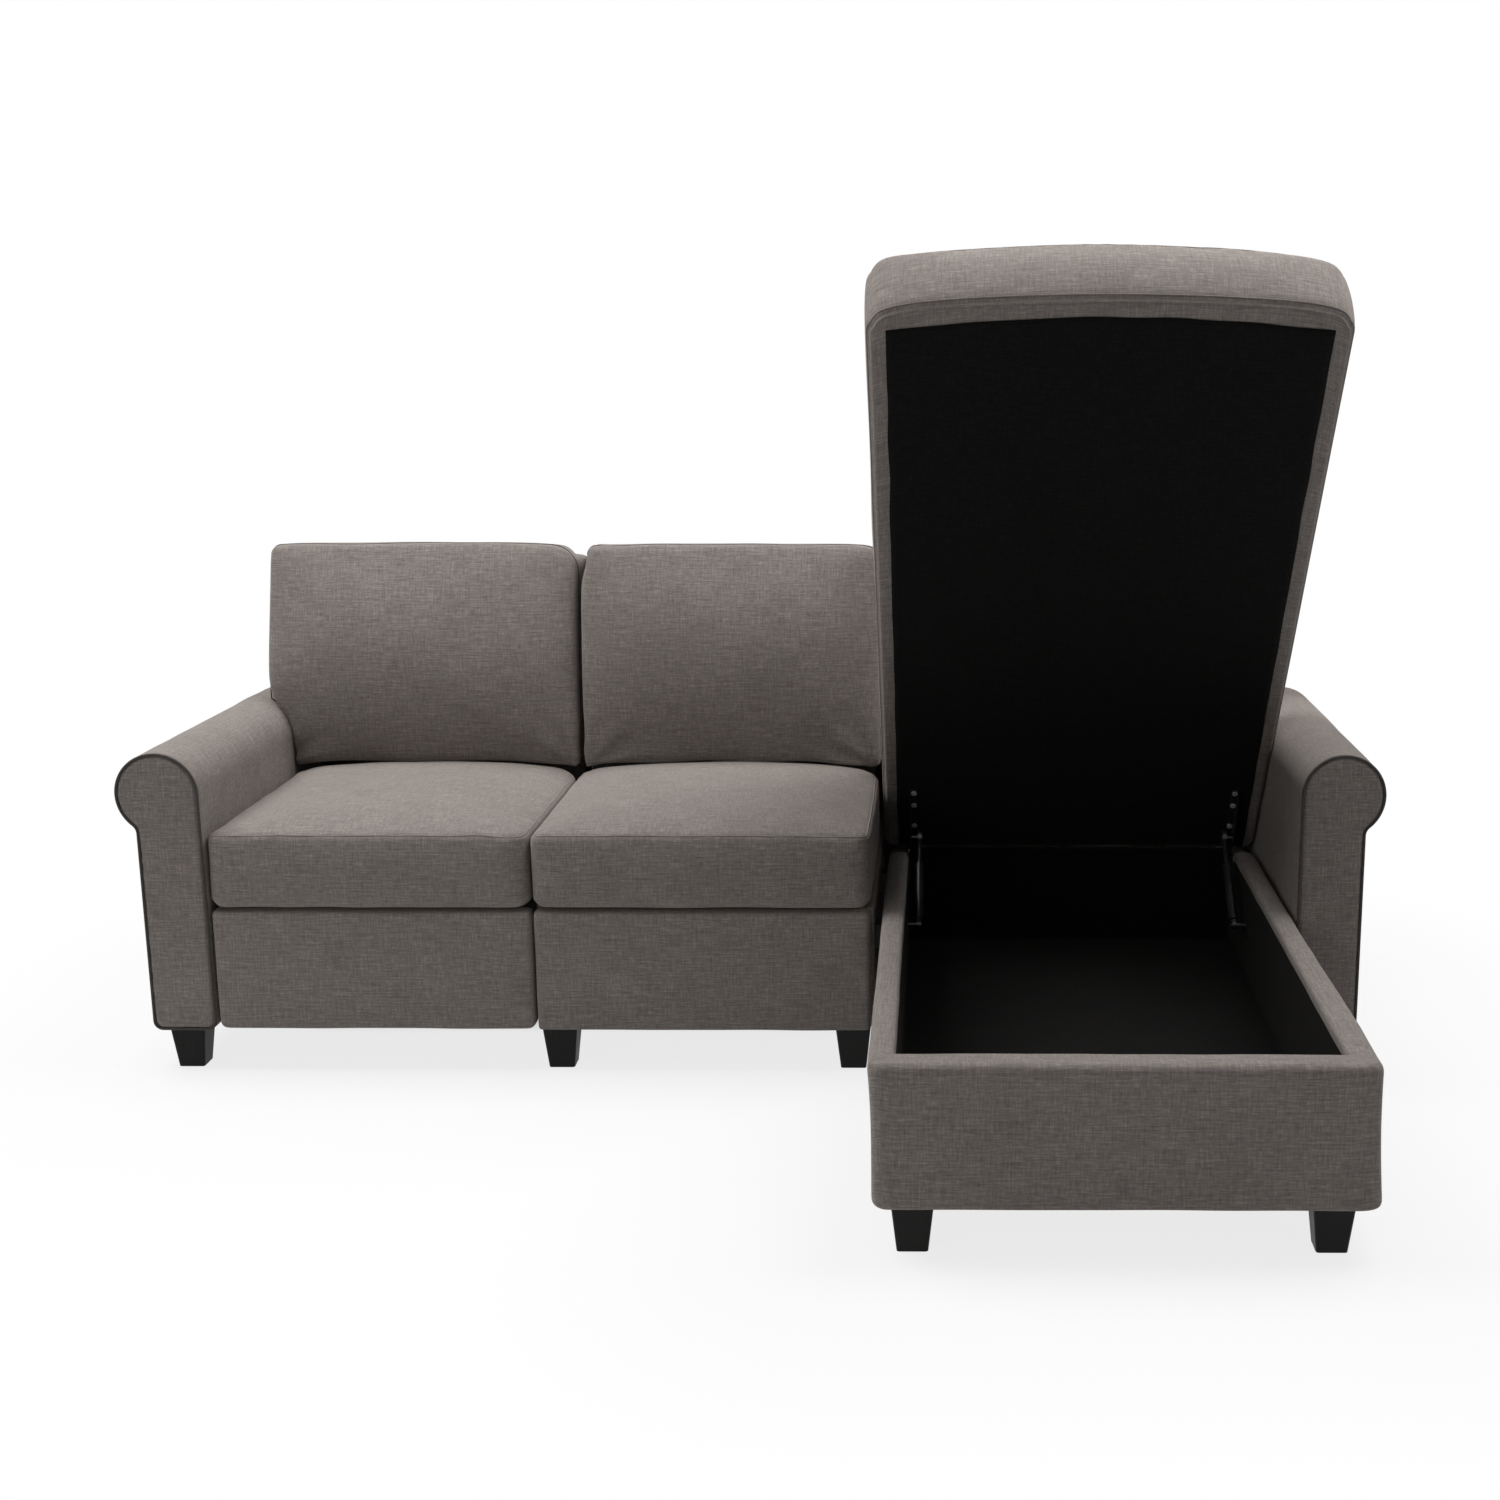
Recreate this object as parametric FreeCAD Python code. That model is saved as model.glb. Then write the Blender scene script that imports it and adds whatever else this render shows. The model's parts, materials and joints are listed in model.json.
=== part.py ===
import FreeCAD, Part
import math
import os

# Sectional sofa: recliner seat on the left, fixed seat in the middle, storage chaise on the right.
# Millimetres. X runs to the right, Y to the back and Z up. The origin is on the floor, under the
# middle of the whole. The rest position has the chaise lid open and the recliner closed.

Vec = FreeCAD.Vector
os.makedirs("parts", exist_ok=True)

# Plan of the whole sofa
recliner_width = 590.0
middle_width = 603.0
module_gap = 23.0
chaise_width = 735.0
chaise_arm_gap = 9.0
arm_length = 735.0
back_proud = 45.0
chaise_reach = 780.0
body_depth = arm_length + back_proud
row_width = recliner_width + middle_width + module_gap + chaise_width + chaise_arm_gap
arm_inner = row_width / 2
front_y = (chaise_reach - body_depth) / 2
rear_y = front_y + body_depth
chaise_front_y = front_y - chaise_reach
recliner_left = -arm_inner
recliner_right = recliner_left + recliner_width
recliner_middle = (recliner_left + recliner_right) / 2
recliner_half = recliner_width / 2
middle_left = recliner_right
middle_right = middle_left + middle_width
chaise_left = middle_right + module_gap
chaise_right = chaise_left + chaise_width

# Heights
foot_height = 78.0
panel_top = 304.0
seat_base_top = 312.0
seat_seam_height = 448.0
back_top = 907.0

# Sheet and board thicknesses
board = 22.0
cloth = 1.5
steel = 4.0
cover_padding = 10.0
running_gap = 0.05
free_gap = 0.3
overrun = 5.0

# Arms
arm_thickness = 117.0
arm_roll_radius = 75.0
arm_roll_height = 519.0
arm_neck_radius = 18.0
arm_corner_radius = 15.0
arm_cover_wall = 12.0
facing_thickness = 7.0
piping_radius = 3.5
arm_board = 12.0

# Feet
foot_top_width = 64.0
foot_bottom_width = 47.0
foot_corner_radius = 5.0
foot_setback = 17.0
middle_foot_inset = 32.5
chaise_foot_inset = 64.0
chaise_foot_inset_right = 53.0
chaise_foot_setback = 22.0
rear_foot_setback = 90.0
arm_foot_place = 62.0

# Seats
seat_rear_setback = 220.0
seat_cushion_depth = body_depth - seat_rear_setback
seat_crown = 16.0
seat_top_bulge = 10.0
seat_front_bulge = 5.0
seat_edge_radius = 20.0
seat_side_draw = 12.0
seat_side_gap = 5.0
middle_left_gap = 0.5
front_panel_depth = 30.0
panel_edge_radius = 12.0
side_panel_thickness = 10.0
spring_wire_radius = 1.9
spring_half_width = 45.0
spring_pitch = 46.0
spring_lead = 30.0
spring_drop = 6.0

# Backs, with their depths measured forward from the rear face of the sofa
back_bottom = 474.0
back_foot_depth = 249.0
back_head_depth = 177.0
back_front_bottom_y = rear_y - back_foot_depth
back_front_top_y = rear_y - back_head_depth
back_crown = 24.0
back_top_arch = 8.0
back_corner_radius = 38.0
back_edge_radius = 30.0
back_side_gap = 2.0
back_rear_skin = 8.0
frame_foot_depth = 125.0
frame_head_depth = 64.0
frame_front_bottom_y = rear_y - frame_foot_depth
frame_front_top_y = rear_y - frame_head_depth
frame_top = 858.0
frame_bottom_recliner = 335.0
ear_reach = 50.0
ear_bottom = 607.0
outside_back_thickness = 10.0
chaise_back_foot_depth = 173.0
chaise_back_head_depth = 174.0
chaise_back_front_bottom_y = rear_y - chaise_back_foot_depth
chaise_back_front_top_y = rear_y - chaise_back_head_depth
chaise_back_edge_radius = 42.0

# Chaise box
box_wall = 38.0
box_front_wall = 60.0
box_rim_height = 303.0
box_rim_radius = 14.0
box_corner_radius = 24.0
box_floor_height = 100.0
box_lining = 3.0
box_rear_inset = 250.0
box_rear_inner_y = rear_y - box_rear_inset
box_low_rim = 285.0

# Lid, in its closed place, and its hinge
hinge_inset = 30.0
hinge_y = box_rear_inner_y - hinge_inset
hinge_z = 292.0
lid_open_angle = 52.9
lid_bottom = 304.0
lid_rear_reach = 8.0
lid_front_overhang = 10.0
lid_overhang = 6.5
lid_rear = hinge_y + lid_rear_reach
lid_front = chaise_front_y - lid_front_overhang
lid_bow = 32.0
lid_height = 148.0
lid_front_crown = 36.0
lid_rear_crown = 12.0
lid_edge_radius = 30.0
lid_side_draw = 16.0
lid_border = 28.0
lid_board = 18.0
bracket_steel = 3.0
bracket_gap = 1.0
bracket_flange = 12.0
bracket_front_reach = 182.0
bracket_boss_radius = 10.0
hinge_pin_radius = 4.0
screw_places = (72.0, 135.0, 172.0)
screw_head_radius = 5.5
screw_head_height = 2.6
strut_anchor_forward = 216.0
strut_anchor_y = hinge_y - strut_anchor_forward
strut_anchor_z = 200.0
strut_pin_forward = 55.0
strut_pin_drop = 8.0
strut_tube_radius = 9.0
strut_rod_radius = 4.0
strut_tube_start = 12.0
strut_tube_end = 150.0
strut_rod_length = 158.0
strut_eye_thickness = 8.0
strut_eye_wall = 4.0
strut_open_eye_clearance = 8.0
anchor_plate_half = 22.0
hinge_plate_drop = 62.0
hinge_plate_half = 19.0

# Recliner mechanism
side_plate_gap = 4.0
slab_gap = 2.0
link_steel = 5.0
link_half_width = 14.0
link_length = 205.0
link_pin_radius = 6.0
front_pivot_setback = 90.0
front_pivot_y = front_y + front_pivot_setback
front_pivot_z = 255.0
knee_closed_angle = -42.3
footrest_thickness = 35.0
toe_depth = 15.0
toe_closed_y = front_y + footrest_thickness + toe_depth
toe_closed_z = 190.0
knee_shaft_radius = 7.0
back_pivot_inset = 80.0
back_pivot_y = rear_y - back_pivot_inset
back_pivot_z = 300.0
back_pivot_radius = 8.0
back_bracket_half_width = 20.0
side_plate_bottom = 165.0
side_plate_top = 308.0
spacer_radius = 15.0
seat_rail_depth = 76.0
footrest_bottom = 80.0
footrest_side_gap = 7.0
footrest_corner_radius = 26.0
footrest_board = 18.0
footrest_board_inset = 22.0
rear_cover_top = 290.0
rear_stretcher_height = 60.0

# Release lever on the outer face of the left arm
lever_setback = 300.0
lever_y = front_y + lever_setback
lever_z = 262.0
lever_shaft_radius = 8.0
lever_hub_radius = 22.0
lever_length = 150.0
lever_tip_radius = 13.0
lever_thickness = 18.0
lever_rise_angle = 12.0
bezel_radius = 32.0
bezel_thickness = 4.0
latch_radius = 20.0
latch_nose = 14.0

# Shares of a size, chosen by hand
corner_arc_share = 1 - math.sqrt(0.5)
corner_step_shares = (0.0, 0.1, 0.35, 0.68, 1.0)
middle_step_shares = (0.16, 0.33, 0.5, 0.67, 0.84)


def block(x_low, x_high, y_low, y_high, z_low, z_high):
    low = Vec(x_low, y_low, z_low)
    return Part.makeBox(x_high - x_low, y_high - y_low, z_high - z_low, low)


def rod_along_x(x_low, x_high, y, z, radius):
    return Part.makeCylinder(radius, x_high - x_low, Vec(x_low, y, z), Vec(1, 0, 0))


def side_plate(points, x_low, x_high):
    """A flat plate with the given (y, z) outline, from x_low to x_high."""
    corners = [Vec(x_low, y, z) for y, z in points]
    wire = Part.makePolygon(corners + corners[:1])
    return Part.Face(wire).extrude(Vec(x_high - x_low, 0, 0))


def bar_link(start, end, x_low, x_high, half_width):
    """A flat bar with round ends about two (y, z) points."""
    along = Vec(0, end[0] - start[0], end[1] - start[1])
    length = along.Length
    body = Part.makeBox(x_high - x_low, length, 2 * half_width, Vec(x_low, 0, -half_width))
    turn = math.degrees(math.atan2(along.z, along.y))
    body.rotate(Vec(0, 0, 0), Vec(1, 0, 0), turn)
    body.translate(Vec(0, start[0], start[1]))
    for y, z in (start, end):
        body = body.fuse(rod_along_x(x_low, x_high, y, z, half_width))
    return body.removeSplitter()


def mirrored(shape):
    return shape.mirror(Vec(0, 0, 0), Vec(1, 0, 0))


def about_recliner(shape):
    """The same shape on the other side of the recliner's middle plane."""
    return shape.mirror(Vec(recliner_middle, 0, 0), Vec(1, 0, 0))


def solids_of(shapes):
    found = []
    for shape in shapes:
        found += shape.Solids
    return found


def save(node, *shapes):
    solids = solids_of(shapes)
    for solid in solids:
        if not solid.isValid() or solid.Volume <= 0:
            print("bad solid in", node)
    Part.makeCompound(solids).exportStep(f"parts/{node}.step")


def arc(start, middle, end):
    return Part.Arc(start, middle, end).toShape()


def line(start, end):
    return Part.LineSegment(start, end).toShape()


def moved_towards(start, end, distance):
    step = end - start
    return start + step * (distance / step.Length)


def soft_outline(corners, bulges, radii):
    """A closed outline of rounded corners, joined by straight or bulged sides."""
    centre = sum(corners, Vec()) * (1 / len(corners))
    into, out_of, tops = [], [], []
    for index, corner in enumerate(corners):
        following = corners[(index + 1) % len(corners)]
        before = moved_towards(corner, corners[index - 1], radii[index])
        after = moved_towards(corner, following, radii[index])
        into.append(before)
        out_of.append(after)
        tops.append(corner + (before + after - corner * 2) * corner_arc_share)
    edges = []
    for index, bulge in enumerate(bulges):
        following = (index + 1) % len(corners)
        edges.append(arc(into[index], tops[index], out_of[index]))
        start, end = out_of[index], into[following]
        if bulge:
            along = end - start
            outward = Vec(0, -along.z, along.y)
            if outward.dot((start + end) * 0.5 - centre) < 0:
                outward = outward * -1
            halfway = (start + end) * 0.5 + outward * (bulge / outward.Length)
            edges.append(arc(start, halfway, end))
        else:
            edges.append(line(start, end))
    return Part.Wire(edges)


def arch(share):
    """A parabola that is 0 at both ends and 1 in the middle."""
    return 4 * share * (1 - share)


def soft_block(x_low, x_high, corners_at, bulges, radii, side_radius, side_draw):
    """A padded block lofted from left to right, drawn in at both sides.

    corners_at gives four (y, z) corners for a share of the width and the distance from the side.
    """
    width = x_high - x_low
    steps = [share * side_radius for share in corner_step_shares]
    steps += [share * width for share in middle_step_shares]
    steps += [width - share * side_radius for share in reversed(corner_step_shares)]
    outlines = []
    for step in steps:
        aside = min(step, width - step, side_radius)
        drop = side_radius - math.sqrt(side_radius**2 - (side_radius - aside) ** 2)
        draw = side_draw * drop / side_radius
        points = corners_at(step / width, drop)
        centre_y = sum(y for y, z in points) / len(points)
        centre_z = sum(z for y, z in points) / len(points)
        corners = []
        for y, z in points:
            inner_y = y + math.copysign(draw, centre_y - y)
            inner_z = z + math.copysign(draw, centre_z - z)
            corners.append(Vec(x_low + step, inner_y, inner_z))
        outlines.append(soft_outline(corners, bulges, radii))
    return Part.makeLoft(outlines, True, True)


def arm_outline(inset, y):
    """Outline of the right arm across its length, drawn in evenly by inset."""
    inner = arm_inner + inset
    outer = arm_inner + arm_thickness - inset
    bottom = foot_height + inset
    roll = arm_roll_radius - inset
    neck = arm_neck_radius + inset
    corner = arm_corner_radius
    corner_mid = corner * corner_arc_share
    roll_x = arm_inner + arm_roll_radius
    roll_z = arm_roll_height
    neck_x = outer + neck
    neck_z = roll_z - math.sqrt((roll + neck) ** 2 - (neck_x - roll_x) ** 2)
    to_neck = Vec(neck_x - roll_x, 0, neck_z - roll_z)
    meet = Vec(roll_x, y, roll_z) + to_neck * (roll / to_neck.Length)
    lean = math.atan2(roll_z - neck_z, roll_x - neck_x)
    neck_mid_angle = (lean + math.pi) / 2
    neck_mid = Vec(neck_x + neck * math.cos(neck_mid_angle), y, neck_z + neck * math.sin(neck_mid_angle))
    top = Vec(roll_x, y, roll_z + roll)
    outer_mid_angle = (math.atan2(meet.z - roll_z, meet.x - roll_x) + math.pi / 2) / 2
    outer_mid = Vec(roll_x + roll * math.cos(outer_mid_angle), y, roll_z + roll * math.sin(outer_mid_angle))
    inner_mid_angle = 3 * math.pi / 4
    inner_mid = Vec(roll_x + roll * math.cos(inner_mid_angle), y, roll_z + roll * math.sin(inner_mid_angle))
    return Part.Wire([
        line(Vec(inner + corner, y, bottom), Vec(outer - corner, y, bottom)),
        arc(
            Vec(outer - corner, y, bottom),
            Vec(outer - corner_mid, y, bottom + corner_mid),
            Vec(outer, y, bottom + corner),
        ),
        line(Vec(outer, y, bottom + corner), Vec(outer, y, neck_z)),
        arc(Vec(outer, y, neck_z), neck_mid, meet),
        arc(meet, outer_mid, top),
        arc(top, inner_mid, Vec(inner, y, roll_z)),
        line(Vec(inner, y, roll_z), Vec(inner, y, bottom + corner)),
        arc(
            Vec(inner, y, bottom + corner),
            Vec(inner + corner_mid, y, bottom + corner_mid),
            Vec(inner + corner, y, bottom),
        ),
    ])


def arm_prism(inset, y_low, y_high):
    return Part.Face(arm_outline(inset, y_low)).extrude(Vec(0, y_high - y_low, 0))


def build_arm():
    """Sub-parts of the right arm: cover, boards, roll core, facing and piping."""
    cover_front = front_y + facing_thickness
    arm_rear = front_y + arm_length
    cavity_rear = arm_rear - arm_cover_wall
    cavity = arm_prism(arm_cover_wall, cover_front - overrun, cavity_rear)
    cover = arm_prism(0, cover_front, arm_rear).cut(cavity)

    inner = arm_inner + arm_cover_wall
    outer = arm_inner + arm_thickness - arm_cover_wall
    low = foot_height + arm_cover_wall
    roll_low = arm_roll_height - arm_roll_radius
    step = arm_corner_radius
    inner_board = block(inner, inner + arm_board, cover_front, cavity_rear, low + step, roll_low)
    outer_board = block(outer - arm_board, outer, cover_front, cavity_rear, low + step, roll_low)
    boards = [inner_board, outer_board]
    posts = 4
    post_pitch = (cavity_rear - cover_front - board) / (posts - 1)
    for index in range(posts):
        post_y = cover_front + index * post_pitch
        post = block(inner + arm_board, outer - arm_board, post_y, post_y + board, low + step, roll_low)
        boards.append(post)

    core_space = block(
        inner - overrun, arm_inner + 2 * arm_roll_radius, cover_front, cavity_rear,
        roll_low, arm_roll_height + arm_roll_radius,
    )
    core = arm_prism(arm_cover_wall, cover_front, cavity_rear).common(core_space)

    facing = arm_prism(2 * piping_radius, front_y, cover_front)
    path = arm_outline(piping_radius, cover_front - piping_radius)
    start = path.Edges[0].valueAt(path.Edges[0].FirstParameter)
    ring = Part.Wire([Part.makeCircle(piping_radius - running_gap, start, Vec(1, 0, 0))])
    piping = path.makePipeShell([ring], True, False)
    return cover, boards, core, facing, piping


def make_arms():
    cover, boards, core, facing, piping = build_arm()
    boards.append(core)
    save("right_arm_cover", cover)
    save("right_arm_frame", *boards)
    save("arm_facings", facing, mirrored(facing))
    save("arm_piping", piping, mirrored(piping))

    shaft_hole = rod_along_x(
        -arm_inner - arm_thickness - overrun, -arm_inner + overrun,
        lever_y, lever_z, lever_shaft_radius + free_gap,
    )
    save("left_arm_cover", mirrored(cover).cut(shaft_hole))
    save("left_arm_frame", *[mirrored(part).cut(shaft_hole) for part in boards])


def rounded_square(x, y, z, width, radius):
    half = width / 2
    flat = half - radius
    mid = half - radius * corner_arc_share
    edges = []
    for turn in range(4):
        spin = FreeCAD.Rotation(Vec(0, 0, 1), 90 * turn)
        points = [Vec(-flat, -half, 0), Vec(flat, -half, 0), Vec(mid, -mid, 0), Vec(half, -flat, 0)]
        start, corner, middle, end = [Vec(x, y, z) + spin.multVec(point) for point in points]
        edges += [line(start, corner), arc(corner, middle, end)]
    return Part.Wire(edges)


def foot(x, y):
    top = rounded_square(x, y, foot_height, foot_top_width, foot_corner_radius)
    bottom = rounded_square(x, y, 0, foot_bottom_width, foot_corner_radius)
    return Part.makeLoft([bottom, top], True, True)


def make_feet():
    front = front_y + foot_setback + foot_top_width / 2
    rear = rear_y - rear_foot_setback
    arm_x = arm_inner + arm_foot_place
    middle_xs = (middle_left + middle_foot_inset, middle_right - middle_foot_inset)
    sofa_xs = (-arm_x, *middle_xs, arm_x)
    save("sofa_feet", *[foot(x, y) for x in sofa_xs for y in (front, rear)])
    chaise_front = chaise_front_y + chaise_foot_setback + foot_top_width / 2
    chaise_xs = (chaise_left + chaise_foot_inset, chaise_right - chaise_foot_inset_right)
    save("chaise_feet", *[foot(x, y) for x in chaise_xs for y in (chaise_front, rear)])


def zigzag_spring(x, y_low, y_high, z):
    """A sinuous wire spring from a front rail to a rear rail."""
    span = y_high - y_low - 2 * spring_lead
    waves = max(2, round(span / spring_pitch))
    pitch = span / waves
    bend = pitch / 2
    reach = spring_half_width - bend
    edges = [line(Vec(x, y_low, z), Vec(x, y_low + spring_lead - bend, z))]
    side = 1
    y = y_low + spring_lead
    edges.append(quarter_bend(x, y - bend, z, side, bend, 0))
    edges.append(line(Vec(x + side * bend, y, z), Vec(x + side * reach, y, z)))
    for index in range(waves):
        edges += half_turn(x + side * reach, y, z, side, bend)
        y += pitch
        if index < waves - 1:
            edges.append(line(Vec(x + side * reach, y, z), Vec(x - side * reach, y, z)))
            side = -side
    edges.append(line(Vec(x + side * reach, y, z), Vec(x + side * bend, y, z)))
    edges.append(quarter_bend(x, y + bend, z, side, bend, 1))
    edges.append(line(Vec(x, y + bend, z), Vec(x, y_high, z)))
    path = Part.Wire(edges)
    ring = Part.Wire([Part.makeCircle(spring_wire_radius, Vec(x, y_low, z), Vec(0, 1, 0))])
    return path.makePipeShell([ring], True, False)


def quarter_bend(x, y, z, side, bend, leaving):
    """The bend between the straight lead and the first or last cross run."""
    ahead = -bend if leaving else bend
    middle_x = x + side * bend * corner_arc_share
    middle = Vec(middle_x, y + ahead * (1 - corner_arc_share), z)
    return arc(Vec(x, y, z), middle, Vec(x + side * bend, y + ahead, z))


def half_turn(x, y, z, side, bend):
    """Two quarter arcs that turn a cross run back the other way."""
    diagonal = bend * math.sqrt(0.5)
    tip = Vec(x + side * bend, y + bend, z)
    first_mid = Vec(x + side * diagonal, y + bend - diagonal, z)
    second_mid = Vec(x + side * diagonal, y + bend + diagonal, z)
    end = Vec(x, y + 2 * bend, z)
    return [arc(Vec(x, y, z), first_mid, tip), arc(tip, second_mid, end)]


def seat_cushion(x_low, x_high):
    rear = front_y + seat_cushion_depth

    def corners_at(share, drop):
        top = seat_seam_height + seat_crown * arch(share)
        return [(front_y, seat_base_top), (front_y, seat_seam_height), (rear, top), (rear, seat_base_top)]

    bulges = (seat_front_bulge, seat_top_bulge, 0, 0)
    radii = (seat_edge_radius / 2, seat_edge_radius, seat_edge_radius, seat_edge_radius / 2)
    body = soft_block(
        x_low, x_high, corners_at, bulges, radii, seat_edge_radius, seat_side_draw
    )
    under = block(
        x_low - overrun, x_high + overrun, front_y - seat_edge_radius, rear + overrun,
        0, seat_base_top,
    )
    return body.cut(under)


def back_frame(x_low, x_high, bottom):
    """Upright boards, three rails and two slats, as separate boards."""
    rear = rear_y - outside_back_thickness
    lean = (frame_front_top_y - frame_front_bottom_y) / (frame_top - seat_base_top)

    def front_at(z):
        return frame_front_bottom_y + lean * (z - seat_base_top)

    def leaning(low, high, x_start, x_end):
        outline = [(front_at(low), low), (front_at(high), high)]
        outline += [(front_at(high) + board, high), (front_at(low) + board, low)]
        return side_plate(outline, x_start, x_end)

    outline = [(front_at(bottom), bottom), (front_at(frame_top), frame_top)]
    outline += [(rear, frame_top), (rear, bottom)]
    posts = [side_plate(outline, x_low, x_low + board), side_plate(outline, x_high - board, x_high)]
    inner_low = x_low + board
    inner_high = x_high - board
    rails = []
    middle = (bottom + frame_top) / 2
    for low in (bottom, middle - board, frame_top - 2 * board):
        rails.append(leaning(low, low + 2 * board, inner_low, inner_high))
    slats = []
    bays = ((bottom + 2 * board, middle - board), (middle + board, frame_top - 2 * board))
    for low, high in bays:
        for share in (1 / 3, 2 / 3):
            x = inner_low + share * (inner_high - inner_low)
            slats.append(leaning(low, high, x - board / 2, x + board / 2))
    return posts + rails + slats


def frame_clearance(x_low, x_high, bottom):
    """The space that a back frame takes, extended to the rear."""
    lean = (frame_front_top_y - frame_front_bottom_y) / (frame_top - seat_base_top)
    low = bottom - overrun
    outline = [
        (frame_front_bottom_y + lean * (low - seat_base_top), low),
        (frame_front_top_y, frame_top),
        (rear_y + overrun, frame_top),
        (rear_y + overrun, low),
    ]
    return side_plate(outline, x_low, x_high)


def back_cushion(x_low, x_high, front_bottom, front_top, edge_radius, frame_low, frame_high, bottom):
    rear = rear_y - back_rear_skin
    rear_bottom = frame_front_bottom_y + 2 * board

    def corners_at(share, drop):
        crown = back_crown * arch(share)
        top = back_top - back_top_arch + back_top_arch * arch(share) - drop
        return [
            (front_bottom - crown, back_bottom),
            (front_top - crown, top),
            (rear, top - back_top_arch),
            (rear_bottom, back_bottom),
        ]

    radii = (edge_radius, back_edge_radius, back_edge_radius, back_edge_radius / 2)
    bulges = (back_top_arch, back_top_arch / 2, 0, 0)
    body = soft_block(x_low, x_high, corners_at, bulges, radii, back_corner_radius, seat_side_draw)
    return body.cut(frame_clearance(frame_low, frame_high, bottom))


def outside_back(x_low, x_high, bottom):
    return block(x_low, x_high, rear_y - outside_back_thickness, rear_y, bottom, frame_top)


def make_middle_seat():
    low_x = middle_left
    high_x = middle_right - side_panel_thickness
    front = front_y + front_panel_depth
    rear = rear_y - outside_back_thickness
    web_low = foot_height + cloth
    boards = [
        block(low_x, low_x + board, front, rear, foot_height, seat_base_top),
        block(high_x - board, high_x, front, rear, foot_height, seat_base_top),
        block(low_x + board, high_x - board, front, front + board, foot_height, seat_base_top),
    ]
    rear_rail_front = frame_front_bottom_y - board
    rear_rail = block(
        low_x + board, high_x - board, rear_rail_front, frame_front_bottom_y, foot_height, seat_base_top
    )
    boards.append(rear_rail)
    bay = (high_x - low_x - 4 * board) / 3
    webs = []
    for index in (1, 2):
        x = low_x + board + index * bay + (index - 1) * board
        webs.append(block(x, x + board, front + board, rear_rail_front, web_low, seat_base_top))
    save("middle_seat_frame", *boards, *webs)

    springs = []
    spring_z = seat_base_top - spring_drop
    for index in range(3):
        x = low_x + board + index * (bay + board) + bay / 2
        springs.append(zigzag_spring(x, front + board, rear_rail_front, spring_z))
    save("middle_seat_springs", *springs)

    sheet = block(low_x + board, high_x - board, front + board, rear_rail_front, foot_height, web_low)
    save("middle_dust_cover", sheet)

    panel = block(low_x, middle_right, front_y, front, foot_height, panel_top)
    panel = rounded_front(panel, panel_edge_radius)
    save("middle_front_panel", panel)
    save("middle_side_panel", block(high_x, middle_right, front, rear, foot_height, panel_top))
    save("middle_seat_cushion", seat_cushion(middle_left + middle_left_gap, middle_right))

    frame_low = middle_left + back_side_gap
    frame_high = high_x
    save("middle_back_frame", *back_frame(frame_low, frame_high, seat_base_top))
    cushion = back_cushion(
        middle_left + back_side_gap, middle_right, back_front_bottom_y, back_front_top_y,
        back_edge_radius, frame_low, frame_high, seat_base_top,
    )
    save("middle_back_cushion", cushion)
    save("middle_outside_back", outside_back(low_x, middle_right, foot_height))


def rounded_front(shape, radius):
    """Rounds the upright and level edges of the face that looks to the front."""
    front = shape.BoundBox.YMin
    edges = []
    for edge in shape.Edges:
        if all(abs(vertex.Y - front) < running_gap for vertex in edge.Vertexes):
            edges.append(edge)
    return shape.makeFillet(radius, edges)


def slab(inner_start, thickness):
    """Left-hand X span of a recliner layer, measured out from the recliner's middle plane."""
    return recliner_middle - inner_start - thickness, recliner_middle - inner_start


plate_inner = recliner_half - side_plate_gap - steel
lower_inner = plate_inner - slab_gap - link_steel
upper_inner = lower_inner - slab_gap - link_steel
bracket_inner = upper_inner - slab_gap - link_steel
rail_outer = bracket_inner - slab_gap * 3


def knee_closed():
    turn = math.radians(knee_closed_angle)
    return (
        front_pivot_y + link_length * math.cos(turn),
        front_pivot_z + link_length * math.sin(turn),
    )


def both_sides(*shapes):
    return list(shapes) + [about_recliner(shape) for shape in shapes]


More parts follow.
